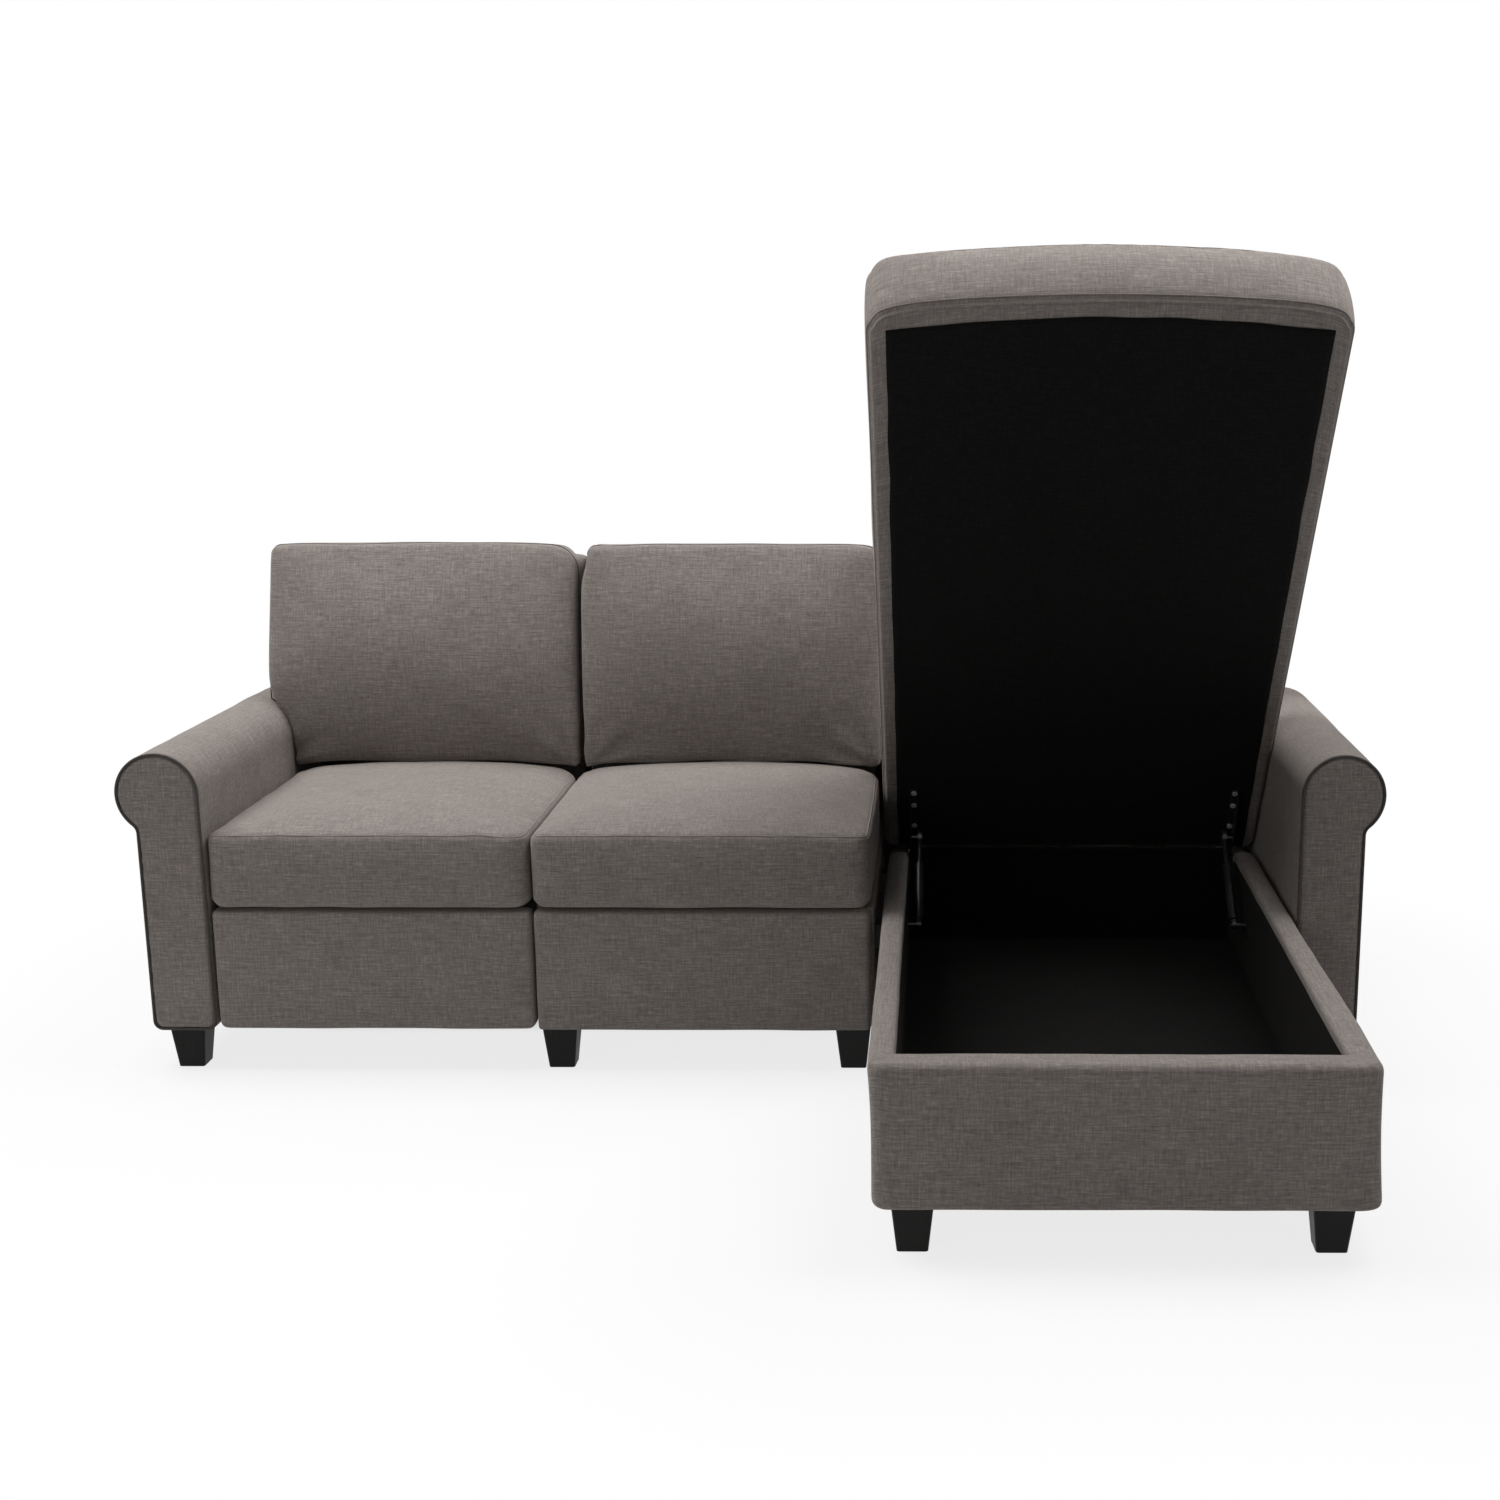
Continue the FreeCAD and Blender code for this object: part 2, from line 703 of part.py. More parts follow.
def make_recliner_base():
    low_x, high_x = slab(plate_inner, steel)
    boss_z = back_pivot_z + link_half_width
    outline = [
        (front_y + footrest_thickness + board, front_pivot_z - 2 * link_half_width),
        (front_pivot_y + link_half_width, side_plate_bottom),
        (back_pivot_y - 2 * link_half_width, side_plate_bottom),
        (back_pivot_y + link_half_width, back_pivot_z - 3 * link_half_width),
        (back_pivot_y + link_half_width, boss_z),
        (back_pivot_y - 2 * link_half_width, boss_z),
        (back_pivot_y - 4 * link_half_width, side_plate_top),
        (front_y + footrest_thickness + board, side_plate_top),
    ]
    plate = side_plate(outline, low_x, high_x)
    shaft = rod_along_x(low_x - overrun, high_x + overrun, lever_y, lever_z, lever_shaft_radius + running_gap)
    save("recliner_side_plates", plate.cut(shaft), about_recliner(plate))

    spacer_low, spacer_high = slab(plate_inner + steel, side_plate_gap)
    places = (
        (front_pivot_y + spacer_radius, front_pivot_z - spacer_radius),
        (back_pivot_y - 8 * spacer_radius, side_plate_bottom + 2 * spacer_radius),
        (back_pivot_y - 2 * spacer_radius, back_pivot_z - 2 * spacer_radius),
    )
    spacers = []
    for y, z in places:
        spacers += both_sides(rod_along_x(spacer_low, spacer_high, y, z, spacer_radius))
    save("recliner_plate_spacers", *spacers)

    pin_end = recliner_middle - lower_inner
    front_pin = rod_along_x(high_x, pin_end, front_pivot_y, front_pivot_z, link_pin_radius)
    back_pin = rod_along_x(high_x, pin_end, back_pivot_y, back_pivot_z, back_pivot_radius)
    save("recliner_base_pins", *both_sides(front_pin, back_pin))

    stretcher_low = foot_height + board
    stretcher = block(
        recliner_left, recliner_right, back_pivot_y + 2 * link_half_width - board,
        back_pivot_y + 2 * link_half_width, stretcher_low, stretcher_low + rear_stretcher_height,
    )
    save("recliner_rear_stretcher", stretcher)
    cover = block(
        recliner_left + free_gap, recliner_right - free_gap, back_pivot_y + 2 * link_half_width,
        back_pivot_y + 2 * link_half_width + cover_padding / 2, foot_height, rear_cover_top,
    )
    save("recliner_rear_cover", cover)


def make_recliner_seat():
    front = front_y + footrest_thickness + cover_padding
    rear = front_y + seat_cushion_depth + 2 * board
    low = seat_base_top - seat_rail_depth
    plate_x = plate_inner
    left = recliner_middle - rail_outer
    right = recliner_middle + rail_outer
    boards = [
        block(left, right, front, front + board, low, seat_base_top),
        block(left, right, rear - board, rear, low, seat_base_top),
        block(left, left + board, front + board, rear - board, low, seat_base_top),
        block(right - board, right, front + board, rear - board, low, seat_base_top),
    ]
    bay = (right - left - 4 * board) / 3
    for index in (1, 2):
        x = left + board + index * bay + (index - 1) * board
        boards.append(block(x, x + board, front + board, rear - board, low, seat_base_top))
    packer = block(
        recliner_middle - plate_x, left, rear - 2 * foot_top_width - 3 * board, rear,
        low + cover_padding, side_plate_top,
    )
    save("recliner_seat_frame", *boards, *both_sides(packer))

    springs = []
    for index in range(3):
        x = left + board + index * (bay + board) + bay / 2
        springs.append(zigzag_spring(x, front + board, rear - board, seat_base_top - spring_drop))
    save("recliner_seat_springs", *springs)
    cushion = seat_cushion(recliner_left + seat_side_gap, recliner_right - seat_side_gap)
    save("recliner_seat_cushion", cushion)


def make_recliner_back():
    low_x, high_x = slab(lower_inner, link_steel - free_gap)
    frame_low = high_x
    frame_high = 2 * recliner_middle - high_x
    frame = back_frame(frame_low, frame_high, frame_bottom_recliner)
    save("recliner_back_frame", *frame)
    cushion = back_cushion(
        recliner_left - ear_reach, recliner_right - back_side_gap, back_front_bottom_y,
        back_front_top_y, back_edge_radius, frame_low, frame_high, frame_bottom_recliner,
    )
    ear_space = block(
        recliner_left - ear_reach - overrun, recliner_left + seat_side_gap, front_y, rear_y + overrun,
        back_bottom - overrun, ear_bottom,
    )
    save("recliner_back_cushion", cushion.cut(ear_space))
    save("recliner_outside_back", outside_back(frame_low, frame_high, frame_bottom_recliner))

    bracket = bar_link(
        (back_pivot_y, back_pivot_z), (back_pivot_y + 2 * board, frame_bottom_recliner + 6 * board),
        low_x, high_x, back_bracket_half_width,
    )
    hole = rod_along_x(
        low_x - overrun, high_x + overrun, back_pivot_y, back_pivot_z, back_pivot_radius + running_gap
    )
    save("recliner_back_brackets", *both_sides(bracket.cut(hole)))


def make_footrest():
    pivot = (front_pivot_y, front_pivot_z)
    knee = knee_closed()
    toe = (toe_closed_y, toe_closed_z)
    lower_x = slab(lower_inner, link_steel)
    upper_x = slab(upper_inner, link_steel)
    bracket_x = slab(bracket_inner, link_steel)

    lower = bar_link(pivot, knee, *lower_x, link_half_width)
    hole = rod_along_x(lower_x[0] - overrun, lower_x[1] + overrun, *pivot, link_pin_radius + running_gap)
    save("footrest_lower_links", *both_sides(lower.cut(hole)))
    shaft = rod_along_x(lower_x[1], 2 * recliner_middle - lower_x[1], *knee, knee_shaft_radius)
    save("footrest_knee_shaft", shaft)

    upper = bar_link(knee, toe, *upper_x, link_half_width)
    for place, radius in ((knee, knee_shaft_radius), (toe, link_pin_radius)):
        hole = rod_along_x(upper_x[0] - overrun, upper_x[1] + overrun, *place, radius + running_gap)
        upper = upper.cut(hole)
    save("footrest_upper_links", *both_sides(upper))

    panel_back = front_y + footrest_thickness
    root = block(
        *bracket_x, panel_back, toe_closed_y, toe_closed_z - 2 * link_half_width,
        toe_closed_z + 2 * link_half_width,
    )
    bracket = root.fuse(rod_along_x(*bracket_x, *toe, link_half_width)).removeSplitter()
    flange = block(
        bracket_x[1], bracket_x[1] + bracket_flange, panel_back, panel_back + bracket_steel,
        toe_closed_z - 2 * link_half_width, toe_closed_z + 2 * link_half_width,
    )
    save("footrest_brackets", *both_sides(bracket.fuse(flange)))
    toe_pin = rod_along_x(upper_x[0] - slab_gap / 2, bracket_x[0], *toe, link_pin_radius)
    save("footrest_toe_pins", *both_sides(toe_pin))

    left = recliner_left + footrest_side_gap
    right = recliner_right - footrest_side_gap
    inset = footrest_board_inset
    board_shape = block(
        left + inset, right - inset, panel_back - footrest_board, panel_back,
        footrest_bottom + inset, panel_top - inset,
    )
    save("footrest_board", board_shape)
    pad = block(left, right, front_y, panel_back, footrest_bottom, panel_top)
    lower_edges = []
    for edge in pad.Edges:
        ends = edge.Vertexes
        if all(abs(vertex.Z - footrest_bottom) < running_gap for vertex in ends):
            if abs(ends[0].X - ends[1].X) < running_gap:
                lower_edges.append(edge)
    pad = pad.makeFillet(footrest_corner_radius, lower_edges)
    pad = rounded_front(pad, panel_edge_radius)
    save("footrest_pad", pad.cut(board_shape))


def make_release_lever():
    outer = -arm_inner - arm_thickness
    latch_x = slab(lower_inner, link_steel)
    face = outer - bezel_thickness - free_gap
    bezel = rod_along_x(outer - bezel_thickness, outer, lever_y, lever_z, bezel_radius)
    bore = rod_along_x(
        outer - bezel_thickness - overrun, outer + overrun, lever_y, lever_z,
        lever_shaft_radius + running_gap,
    )
    save("release_bezel", bezel.cut(bore))

    rise = math.radians(lever_rise_angle)
    tip_y = lever_y - lever_length * math.cos(rise)
    tip_z = lever_z + lever_length * math.sin(rise)
    hub = rod_along_x(face - lever_thickness, face, lever_y, lever_z, lever_hub_radius)
    tip = rod_along_x(face - lever_thickness, face, tip_y, tip_z, lever_tip_radius)
    across = (-math.sin(rise), -math.cos(rise))
    grip = []
    for y, z, reach in (
        (lever_y, lever_z, lever_hub_radius), (tip_y, tip_z, lever_tip_radius),
        (tip_y, tip_z, -lever_tip_radius), (lever_y, lever_z, -lever_hub_radius),
    ):
        grip.append((y + across[0] * reach, z + across[1] * reach))
    handle = side_plate(grip, face - lever_thickness, face).fuse([hub, tip]).removeSplitter()
    save("release_lever", handle)
    shaft = rod_along_x(face, latch_x[0], lever_y, lever_z, lever_shaft_radius)
    latch = rod_along_x(*latch_x, lever_y, lever_z, latch_radius)
    nose = block(
        *latch_x, lever_y - latch_radius - latch_nose / 2, lever_y,
        lever_z - latch_radius, lever_z - latch_radius + latch_nose,
    )
    save("release_shaft", shaft, latch.fuse(nose).removeSplitter())


inner_left = chaise_left + box_wall
inner_right = chaise_right - box_wall
inner_front = chaise_front_y + box_front_wall
rim_rear = hinge_y - overrun
skin_left = chaise_left + cover_padding
wall_board = box_wall - cover_padding - box_lining


def side_wall_parts(x_outer, x_board, x_lining, x_inner):
    """Cover, board and lining of one side wall, from its outer face to the well."""
    rear = rear_y - outside_back_thickness
    front = inner_front - box_lining
    cap_low = box_rim_height - cover_padding
    low, high = sorted((x_outer, x_inner))
    skin_low, skin_high = sorted((x_outer, x_board))
    core_low, core_high = sorted((x_board, x_lining))
    sheet_low, sheet_high = sorted((x_lining, x_inner))
    cover = block(low, high, front, rim_rear, foot_height, box_rim_height)
    top_edges = []
    for edge in cover.Edges:
        ends = edge.Vertexes
        if all(abs(vertex.Z - box_rim_height) < running_gap for vertex in ends):
            if abs(ends[0].X - ends[1].X) < running_gap:
                top_edges.append(edge)
    cover = cover.makeFillet(box_rim_radius / 2, top_edges)
    pocket_low, pocket_high = sorted((x_board, x_inner + math.copysign(overrun, x_inner - x_outer)))
    cover = cover.cut(block(pocket_low, pocket_high, front - overrun, rim_rear + overrun, 0, cap_low))
    rear_skin = block(skin_low, skin_high, rim_rear, rear, foot_height, box_low_rim)
    cover = cover.fuse(rear_skin).removeSplitter()
    wall = block(core_low, core_high, front, rim_rear, foot_height, cap_low)
    wall = wall.fuse(block(core_low, core_high, rim_rear, rear, foot_height, box_low_rim)).removeSplitter()
    sheet = block(sheet_low, sheet_high, inner_front, box_rear_inner_y, box_floor_height, box_low_rim)
    return cover, wall, sheet


def make_chaise_box():
    left = side_wall_parts(chaise_left, skin_left, inner_left - box_lining, inner_left)
    right = side_wall_parts(
        chaise_right, chaise_right - cover_padding, inner_right + box_lining, inner_right
    )
    save("chaise_left_cover", left[0])
    save("chaise_right_cover", right[0])

    wall_front = inner_front - box_lining - wall_board
    front_cover = block(
        chaise_left, chaise_right, chaise_front_y, inner_front - box_lining, foot_height, box_rim_height
    )
    corner_edges, rim_edges = [], []
    for edge in front_cover.Edges:
        ends = edge.Vertexes
        if all(abs(vertex.Y - chaise_front_y) < running_gap for vertex in ends):
            if abs(ends[0].X - ends[1].X) < running_gap:
                corner_edges.append(edge)
    front_cover = front_cover.makeFillet(box_corner_radius, corner_edges)
    for edge in front_cover.Edges:
        if all(abs(vertex.Z - box_rim_height) < running_gap for vertex in edge.Vertexes):
            if edge.BoundBox.YMin < inner_front - box_lining - running_gap:
                rim_edges.append(edge)
    front_cover = front_cover.makeFillet(box_rim_radius, rim_edges)
    cap_low = box_rim_height - cover_padding
    pocket = block(
        skin_left, chaise_right - cover_padding, wall_front, inner_front + overrun, 0, cap_low
    )
    save("chaise_front_cover", front_cover.cut(pocket))
    front_board = block(
        skin_left, chaise_right - cover_padding, wall_front, inner_front - box_lining,
        foot_height, cap_low,
    )

    rear_low = box_rear_inner_y + box_lining
    rear_board = block(
        inner_left - box_lining, inner_right + box_lining, rear_low, rear_low + board,
        foot_height, box_low_rim,
    )
    save("chaise_box_boards", left[1], right[1], front_board, rear_board)
    floor_top = box_floor_height - box_lining
    floor_board = block(
        inner_left - box_lining, inner_right + box_lining, inner_front - box_lining, rear_low,
        foot_height, floor_top,
    )
    save("chaise_floor_board", floor_board)

    floor_sheet = block(
        inner_left - box_lining, inner_right + box_lining, inner_front - box_lining, rear_low,
        floor_top, box_floor_height,
    )
    front_sheet = block(
        inner_left - box_lining, inner_right + box_lining, inner_front - box_lining, inner_front,
        box_floor_height, cap_low,
    )
    rear_sheet = block(
        inner_left - box_lining, inner_right + box_lining, box_rear_inner_y, rear_low,
        box_floor_height, box_low_rim,
    )
    save("chaise_lining", left[2], right[2], floor_sheet, front_sheet, rear_sheet)


def make_chaise_back():
    frame_low = skin_left
    frame_high = chaise_right - cover_padding
    save("chaise_back_frame", *back_frame(frame_low, frame_high, box_low_rim))
    cushion = back_cushion(
        chaise_left - back_side_gap, arm_inner + ear_reach, chaise_back_front_bottom_y,
        chaise_back_front_top_y, chaise_back_edge_radius, frame_low, frame_high, box_low_rim,
    )
    ear_space = block(
        arm_inner - seat_side_gap, arm_inner + ear_reach + overrun, front_y, rear_y + overrun,
        back_bottom - overrun, ear_bottom,
    )
    save("chaise_back_cushion", cushion.cut(ear_space))
    save("chaise_outside_back", outside_back(chaise_left, chaise_right, foot_height))


def opened(shape):
    """Turns a lid part from its closed place to the open rest place."""
    turned = shape.copy()
    turned.rotate(Vec(0, hinge_y, hinge_z), Vec(1, 0, 0), -lid_open_angle)
    return turned


lid_left = chaise_left - lid_overhang
lid_right = chaise_right + lid_overhang


def bowed_sheet(inset, z_low, z_high):
    """A sheet in the lid's plan, inset from its sides, with the bowed front end."""
    left = lid_left + inset
    right = lid_right - inset
    front = lid_front + inset
    rear = lid_rear - inset / 2
    middle = (left + right) / 2
    wire = Part.Wire([
        line(Vec(left, front, z_low), Vec(left, rear, z_low)),
        line(Vec(left, rear, z_low), Vec(right, rear, z_low)),
        line(Vec(right, rear, z_low), Vec(right, front, z_low)),
        arc(Vec(right, front, z_low), Vec(middle, front - lid_bow, z_low), Vec(left, front, z_low)),
    ])
    return Part.Face(wire).extrude(Vec(0, 0, z_high - z_low))


def make_lid():
    def corners_at(share, drop):
        front = lid_front - lid_bow * arch(share)
        front_top = lid_bottom + lid_height + lid_front_crown * arch(share)
        rear_top = lid_bottom + lid_height + lid_rear_crown * arch(share)
        return [(front, lid_bottom), (front, front_top), (lid_rear, rear_top), (lid_rear, lid_bottom)]

    radii = (lid_edge_radius / 4, lid_edge_radius, lid_edge_radius, lid_edge_radius / 4)
    bulges = (seat_front_bulge, lid_rear_crown, 0, 0)
    cushion = soft_block(
        lid_left, lid_right, corners_at, bulges, radii, lid_edge_radius / 2, lid_side_draw / 2
    )
    under = block(
        lid_left - overrun, lid_right + overrun, lid_front - 2 * lid_bow, lid_rear + overrun,
        lid_bottom - lid_height, lid_bottom,
    )
    cloth_top = lid_bottom + cloth
    cover = bowed_sheet(lid_border, lid_bottom, cloth_top)
    base = bowed_sheet(lid_border, cloth_top, cloth_top + lid_board)
    cushion = cushion.cut(under).cut(cover).cut(base)
    save("lid_cushion", opened(cushion))
    save("lid_board", opened(base))
    save("lid_dust_cover", opened(cover))


def strut_pin_open():
    turn = math.radians(lid_open_angle)
    y = -strut_pin_forward * math.cos(turn) - strut_pin_drop * math.sin(turn)
    z = strut_pin_forward * math.sin(turn) - strut_pin_drop * math.cos(turn)
    return hinge_y + y, hinge_z + z


def about_chaise(shape):
    return shape.mirror(Vec((chaise_left + chaise_right) / 2, 0, 0), Vec(1, 0, 0))


def pair(*shapes):
    return list(shapes) + [about_chaise(shape) for shape in shapes]


def make_lid_hinges():
    fixed_low = inner_left
    fixed_high = fixed_low + bracket_steel
    moving_low = fixed_high + bracket_gap
    moving_high = moving_low + bracket_steel
    strut_x = moving_high + bracket_flange + bracket_gap + strut_eye_thickness / 2
    pin_end = strut_x + strut_eye_thickness / 2 + bracket_gap

    hinge_plate = block(
        fixed_low, fixed_high, hinge_y - hinge_plate_half, hinge_y + hinge_plate_half,
        hinge_z - hinge_plate_drop, hinge_z,
    ).fuse(rod_along_x(fixed_low, fixed_high, hinge_y, hinge_z, bracket_boss_radius))
    plate_top = block(
        fixed_low - overrun, fixed_high + overrun, hinge_y - hinge_plate_half - overrun,
        hinge_y + hinge_plate_half + overrun, box_low_rim, hinge_z + bracket_boss_radius + overrun,
    )
    boss = rod_along_x(fixed_low - overrun, fixed_high + overrun, hinge_y, hinge_z, bracket_boss_radius)
    hinge_plate = hinge_plate.cut(plate_top.cut(boss)).removeSplitter()
    anchor_plate = block(
        fixed_low, fixed_high, strut_anchor_y - anchor_plate_half, strut_anchor_y + anchor_plate_half,
        strut_anchor_z - anchor_plate_half, strut_anchor_z + anchor_plate_half,
    )
    save("lid_hinge_plates", *pair(hinge_plate, anchor_plate))
    hinge_pin = rod_along_x(fixed_high, moving_high, hinge_y, hinge_z, hinge_pin_radius)
    anchor_pin = rod_along_x(fixed_high, pin_end, strut_anchor_y, strut_anchor_z, hinge_pin_radius)
    save("lid_hinge_pins", *pair(hinge_pin, anchor_pin))

    pin_y = hinge_y - strut_pin_forward
    pin_z = hinge_z - strut_pin_drop
    front = hinge_y - bracket_front_reach
    radius = bracket_boss_radius
    outline = [
        (hinge_y + radius, lid_bottom),
        (hinge_y + radius, hinge_z),
        (hinge_y, hinge_z - radius),
        (pin_y, pin_z - radius),
        (front, lid_bottom - bracket_steel),
        (front, lid_bottom),
    ]
    web = side_plate(outline, moving_low, moving_high)
    flange = block(
        moving_high, moving_high + bracket_flange, front, hinge_y + radius / 2,
        lid_bottom - bracket_steel, lid_bottom,
    )
    hole = rod_along_x(
        moving_low - overrun, moving_high + overrun, hinge_y, hinge_z, hinge_pin_radius + running_gap
    )
    bracket = web.fuse(flange).removeSplitter().cut(hole)
    save("lid_hinge_brackets", *pair(opened(bracket)))
    strut_pin = rod_along_x(moving_high, pin_end, pin_y, pin_z, hinge_pin_radius)
    save("lid_strut_pins", *pair(opened(strut_pin)))

    screws = []
    screw_x = moving_high + bracket_flange / 2
    for place in screw_places:
        head = Part.makeCylinder(
            screw_head_radius, screw_head_height,
            Vec(screw_x, hinge_y - place, lid_bottom - bracket_steel - screw_head_height),
        )
        screws += pair(opened(head))
    save("lid_bracket_screws", *screws)
    return strut_x


def make_struts(strut_x):
    """Gas struts, built lying along Y from the anchor, then turned to the open place."""
    pin_y, pin_z = strut_pin_open()
    reach = math.hypot(pin_y - strut_anchor_y, pin_z - strut_anchor_z)
    turn = math.degrees(math.atan2(pin_z - strut_anchor_z, pin_y - strut_anchor_y))
    eye_low = strut_x - strut_eye_thickness / 2
    eye_high = strut_x + strut_eye_thickness / 2
    eye_radius = hinge_pin_radius + strut_eye_wall
    along = Vec(0, 1, 0)

    tube = Part.makeCylinder(
        strut_tube_radius, strut_tube_end - strut_tube_start, Vec(strut_x, strut_tube_start, 0), along
    )
    eye = rod_along_x(eye_low, eye_high, 0, 0, eye_radius)
    neck = block(eye_low, eye_high, 0, strut_tube_start + bracket_gap, -strut_rod_radius, strut_rod_radius)
    hole = rod_along_x(eye_low - overrun, eye_high + overrun, 0, 0, hinge_pin_radius + running_gap)
    bore = Part.makeCylinder(
        strut_rod_radius + running_gap, strut_tube_end, Vec(strut_x, 1.5 * strut_tube_start, 0), along
    )
    cylinder = tube.fuse([eye, neck]).removeSplitter().cut(hole).cut(bore)

    open_hole_radius = hinge_pin_radius + strut_open_eye_clearance
    ring_radius = open_hole_radius + strut_eye_wall
    rod = Part.makeCylinder(
        strut_rod_radius, strut_rod_length, Vec(strut_x, reach - strut_rod_length, 0), along
    )
    ring = rod_along_x(eye_low, eye_high, reach, 0, ring_radius)
    ring_hole = rod_along_x(eye_low - overrun, eye_high + overrun, reach, 0, open_hole_radius)
    piston_rod = rod.fuse(ring).removeSplitter().cut(ring_hole)

    placed = []
    for shape in (cylinder, piston_rod):
        shape.rotate(Vec(0, 0, 0), Vec(1, 0, 0), turn)
        shape.translate(Vec(0, strut_anchor_y, strut_anchor_z))
        placed.append(shape)
    save("strut_cylinders", *pair(placed[0]))
    save("strut_rods", *pair(placed[1]))


def make_connectors():
    """Steel ties between the modules that stand side by side."""
    height = foot_height + 2 * foot_top_width
    places = (front_y + 2 * foot_top_width, hinge_y)
    ties = []
    for low, high in ((middle_right, chaise_left), (chaise_right, arm_inner)):
        for y in places:
            ties.append(block(low, high, y - board, y + board, height, height + 2 * board))
    save("module_ties", *ties)


make_arms()
make_feet()
make_middle_seat()
make_recliner_base()
make_recliner_seat()
make_recliner_back()
make_footrest()
make_release_lever()
make_chaise_box()
make_chaise_back()
make_lid()
make_struts(make_lid_hinges())
make_connectors()
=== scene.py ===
import bpy
import json
import math
import numpy as np
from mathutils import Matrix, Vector

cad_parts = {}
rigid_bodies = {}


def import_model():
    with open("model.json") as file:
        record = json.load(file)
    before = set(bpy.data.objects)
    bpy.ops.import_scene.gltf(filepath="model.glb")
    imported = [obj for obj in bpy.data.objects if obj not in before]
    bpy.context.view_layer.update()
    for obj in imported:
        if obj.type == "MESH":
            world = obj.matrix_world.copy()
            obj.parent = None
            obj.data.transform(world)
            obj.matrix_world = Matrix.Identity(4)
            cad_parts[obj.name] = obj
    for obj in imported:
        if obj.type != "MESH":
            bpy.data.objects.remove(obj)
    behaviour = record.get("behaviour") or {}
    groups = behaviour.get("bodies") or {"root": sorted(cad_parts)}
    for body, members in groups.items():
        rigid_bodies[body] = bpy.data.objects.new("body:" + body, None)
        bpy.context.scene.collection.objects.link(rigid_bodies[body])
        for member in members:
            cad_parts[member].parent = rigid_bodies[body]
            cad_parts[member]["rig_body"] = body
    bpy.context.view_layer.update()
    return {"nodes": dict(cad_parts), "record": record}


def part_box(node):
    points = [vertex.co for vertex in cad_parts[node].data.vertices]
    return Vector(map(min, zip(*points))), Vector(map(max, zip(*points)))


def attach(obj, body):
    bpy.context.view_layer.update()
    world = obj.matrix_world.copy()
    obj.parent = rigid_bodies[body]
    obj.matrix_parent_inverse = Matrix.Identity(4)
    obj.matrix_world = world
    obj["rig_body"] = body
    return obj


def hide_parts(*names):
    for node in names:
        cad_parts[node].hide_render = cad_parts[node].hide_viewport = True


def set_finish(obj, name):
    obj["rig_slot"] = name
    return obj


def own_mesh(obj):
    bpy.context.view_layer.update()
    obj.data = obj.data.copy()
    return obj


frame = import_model()

# Sectional sofa with its chaise lid open, in metres. X runs to the right, Y to the back, Z up.
# Fabric pieces are built on fine lattices, puffed with cloth, then given seams and piping.

# Shared sizes
seam_radius = 0.0015
seam_groove = 0.0022
seam_reach = 0.006
finest_step = 0.003
step_growth = 1.3
coarse_step = 0.015

# Arms
arm_inner = 0.980
arm_thickness = 0.117
arm_bottom = 0.078
arm_roll_radius = 0.075
arm_roll_height = 0.519
arm_neck_radius = 0.018
arm_corner_radius = 0.015
piping_radius = 0.0027
facing_depth = 0.007
outline_count = 128

# Chaise box
box_corner_radius = 0.024
box_rim_radius = 0.014
lining_radius = 0.012

# Seats and backs. The frame's values are its front plane. An ear is a back's end over an arm's roll.
seat_rear = 0.560
seat_seam_height = 0.448
seat_corners = (0.026, 0.048)
seat_edges = (0.012, 0.015)
seat_puff = 0.009
frame_foot_y = 0.655
frame_head_y = 0.716
frame_foot_z = 0.312
frame_top = 0.858
back_bottom = 0.464
back_top = 0.903
back_depth = 0.150
back_lower_corner = 0.018
back_edges = (0.018, 0.014)
back_fullness = 0.022
back_wrap_rear = 0.768
back_seam_depth = 0.0186
back_puff = 0.014
wrinkle_reach = 0.13
wrinkle_height = 0.0022
wrinkle_count = 8
apron_gap = 0.0016
ear_start = 0.90
ear_middle = 1.0575
ear_radius = 0.077

# Lid, closed
lid_left = 0.2295
lid_right = 0.9775
lid_front = -0.798
lid_rear = 0.508
lid_bottom = 0.304
lid_bow = 0.044
lid_height = 0.148
lid_corners = (0.026, 0.024)
lid_edges = (0.012, 0.022)
lid_side_bulge = (0.011, 0.0125)
lid_crown = 0.012
lid_puff = 0.010
lid_border = 0.024
lid_front_border = 0.016
lid_cloth_bow = 0.026

nodes = frame["nodes"]
record = frame["record"]
lid_joint = next(joint for joint in record["behaviour"]["joints"] if joint["name"] == "lid_hinge")
lid_angle = math.radians(lid_joint["range_deg"][1])
lid_axis_y = lid_joint["pos_m"][1]
lid_axis_z = lid_joint["pos_m"][2]


# Lattices and their shapes

def places(low, high, fine=finest_step, coarse=coarse_step):
    """Places from low to high, close together near both ends and even in between."""
    ends = [0.0]
    step = fine
    while step < coarse and ends[-1] + step < (high - low) / 3:
        ends.append(ends[-1] + step)
        step *= step_growth
    ends = np.array(ends)
    span = high - low - 2 * ends[-1]
    count = max(2, round(span / coarse))
    middle = np.linspace(low + ends[-1], high - ends[-1], count + 1)
    return np.concatenate([low + ends[:-1], middle, high - ends[:-1][::-1]])


def lattice_key(axis, level, across, along):
    """Where a point is in a lattice: its level along the axis, and its places along the other two."""
    key = [across, along]
    key.insert(axis, level)
    return tuple(key)


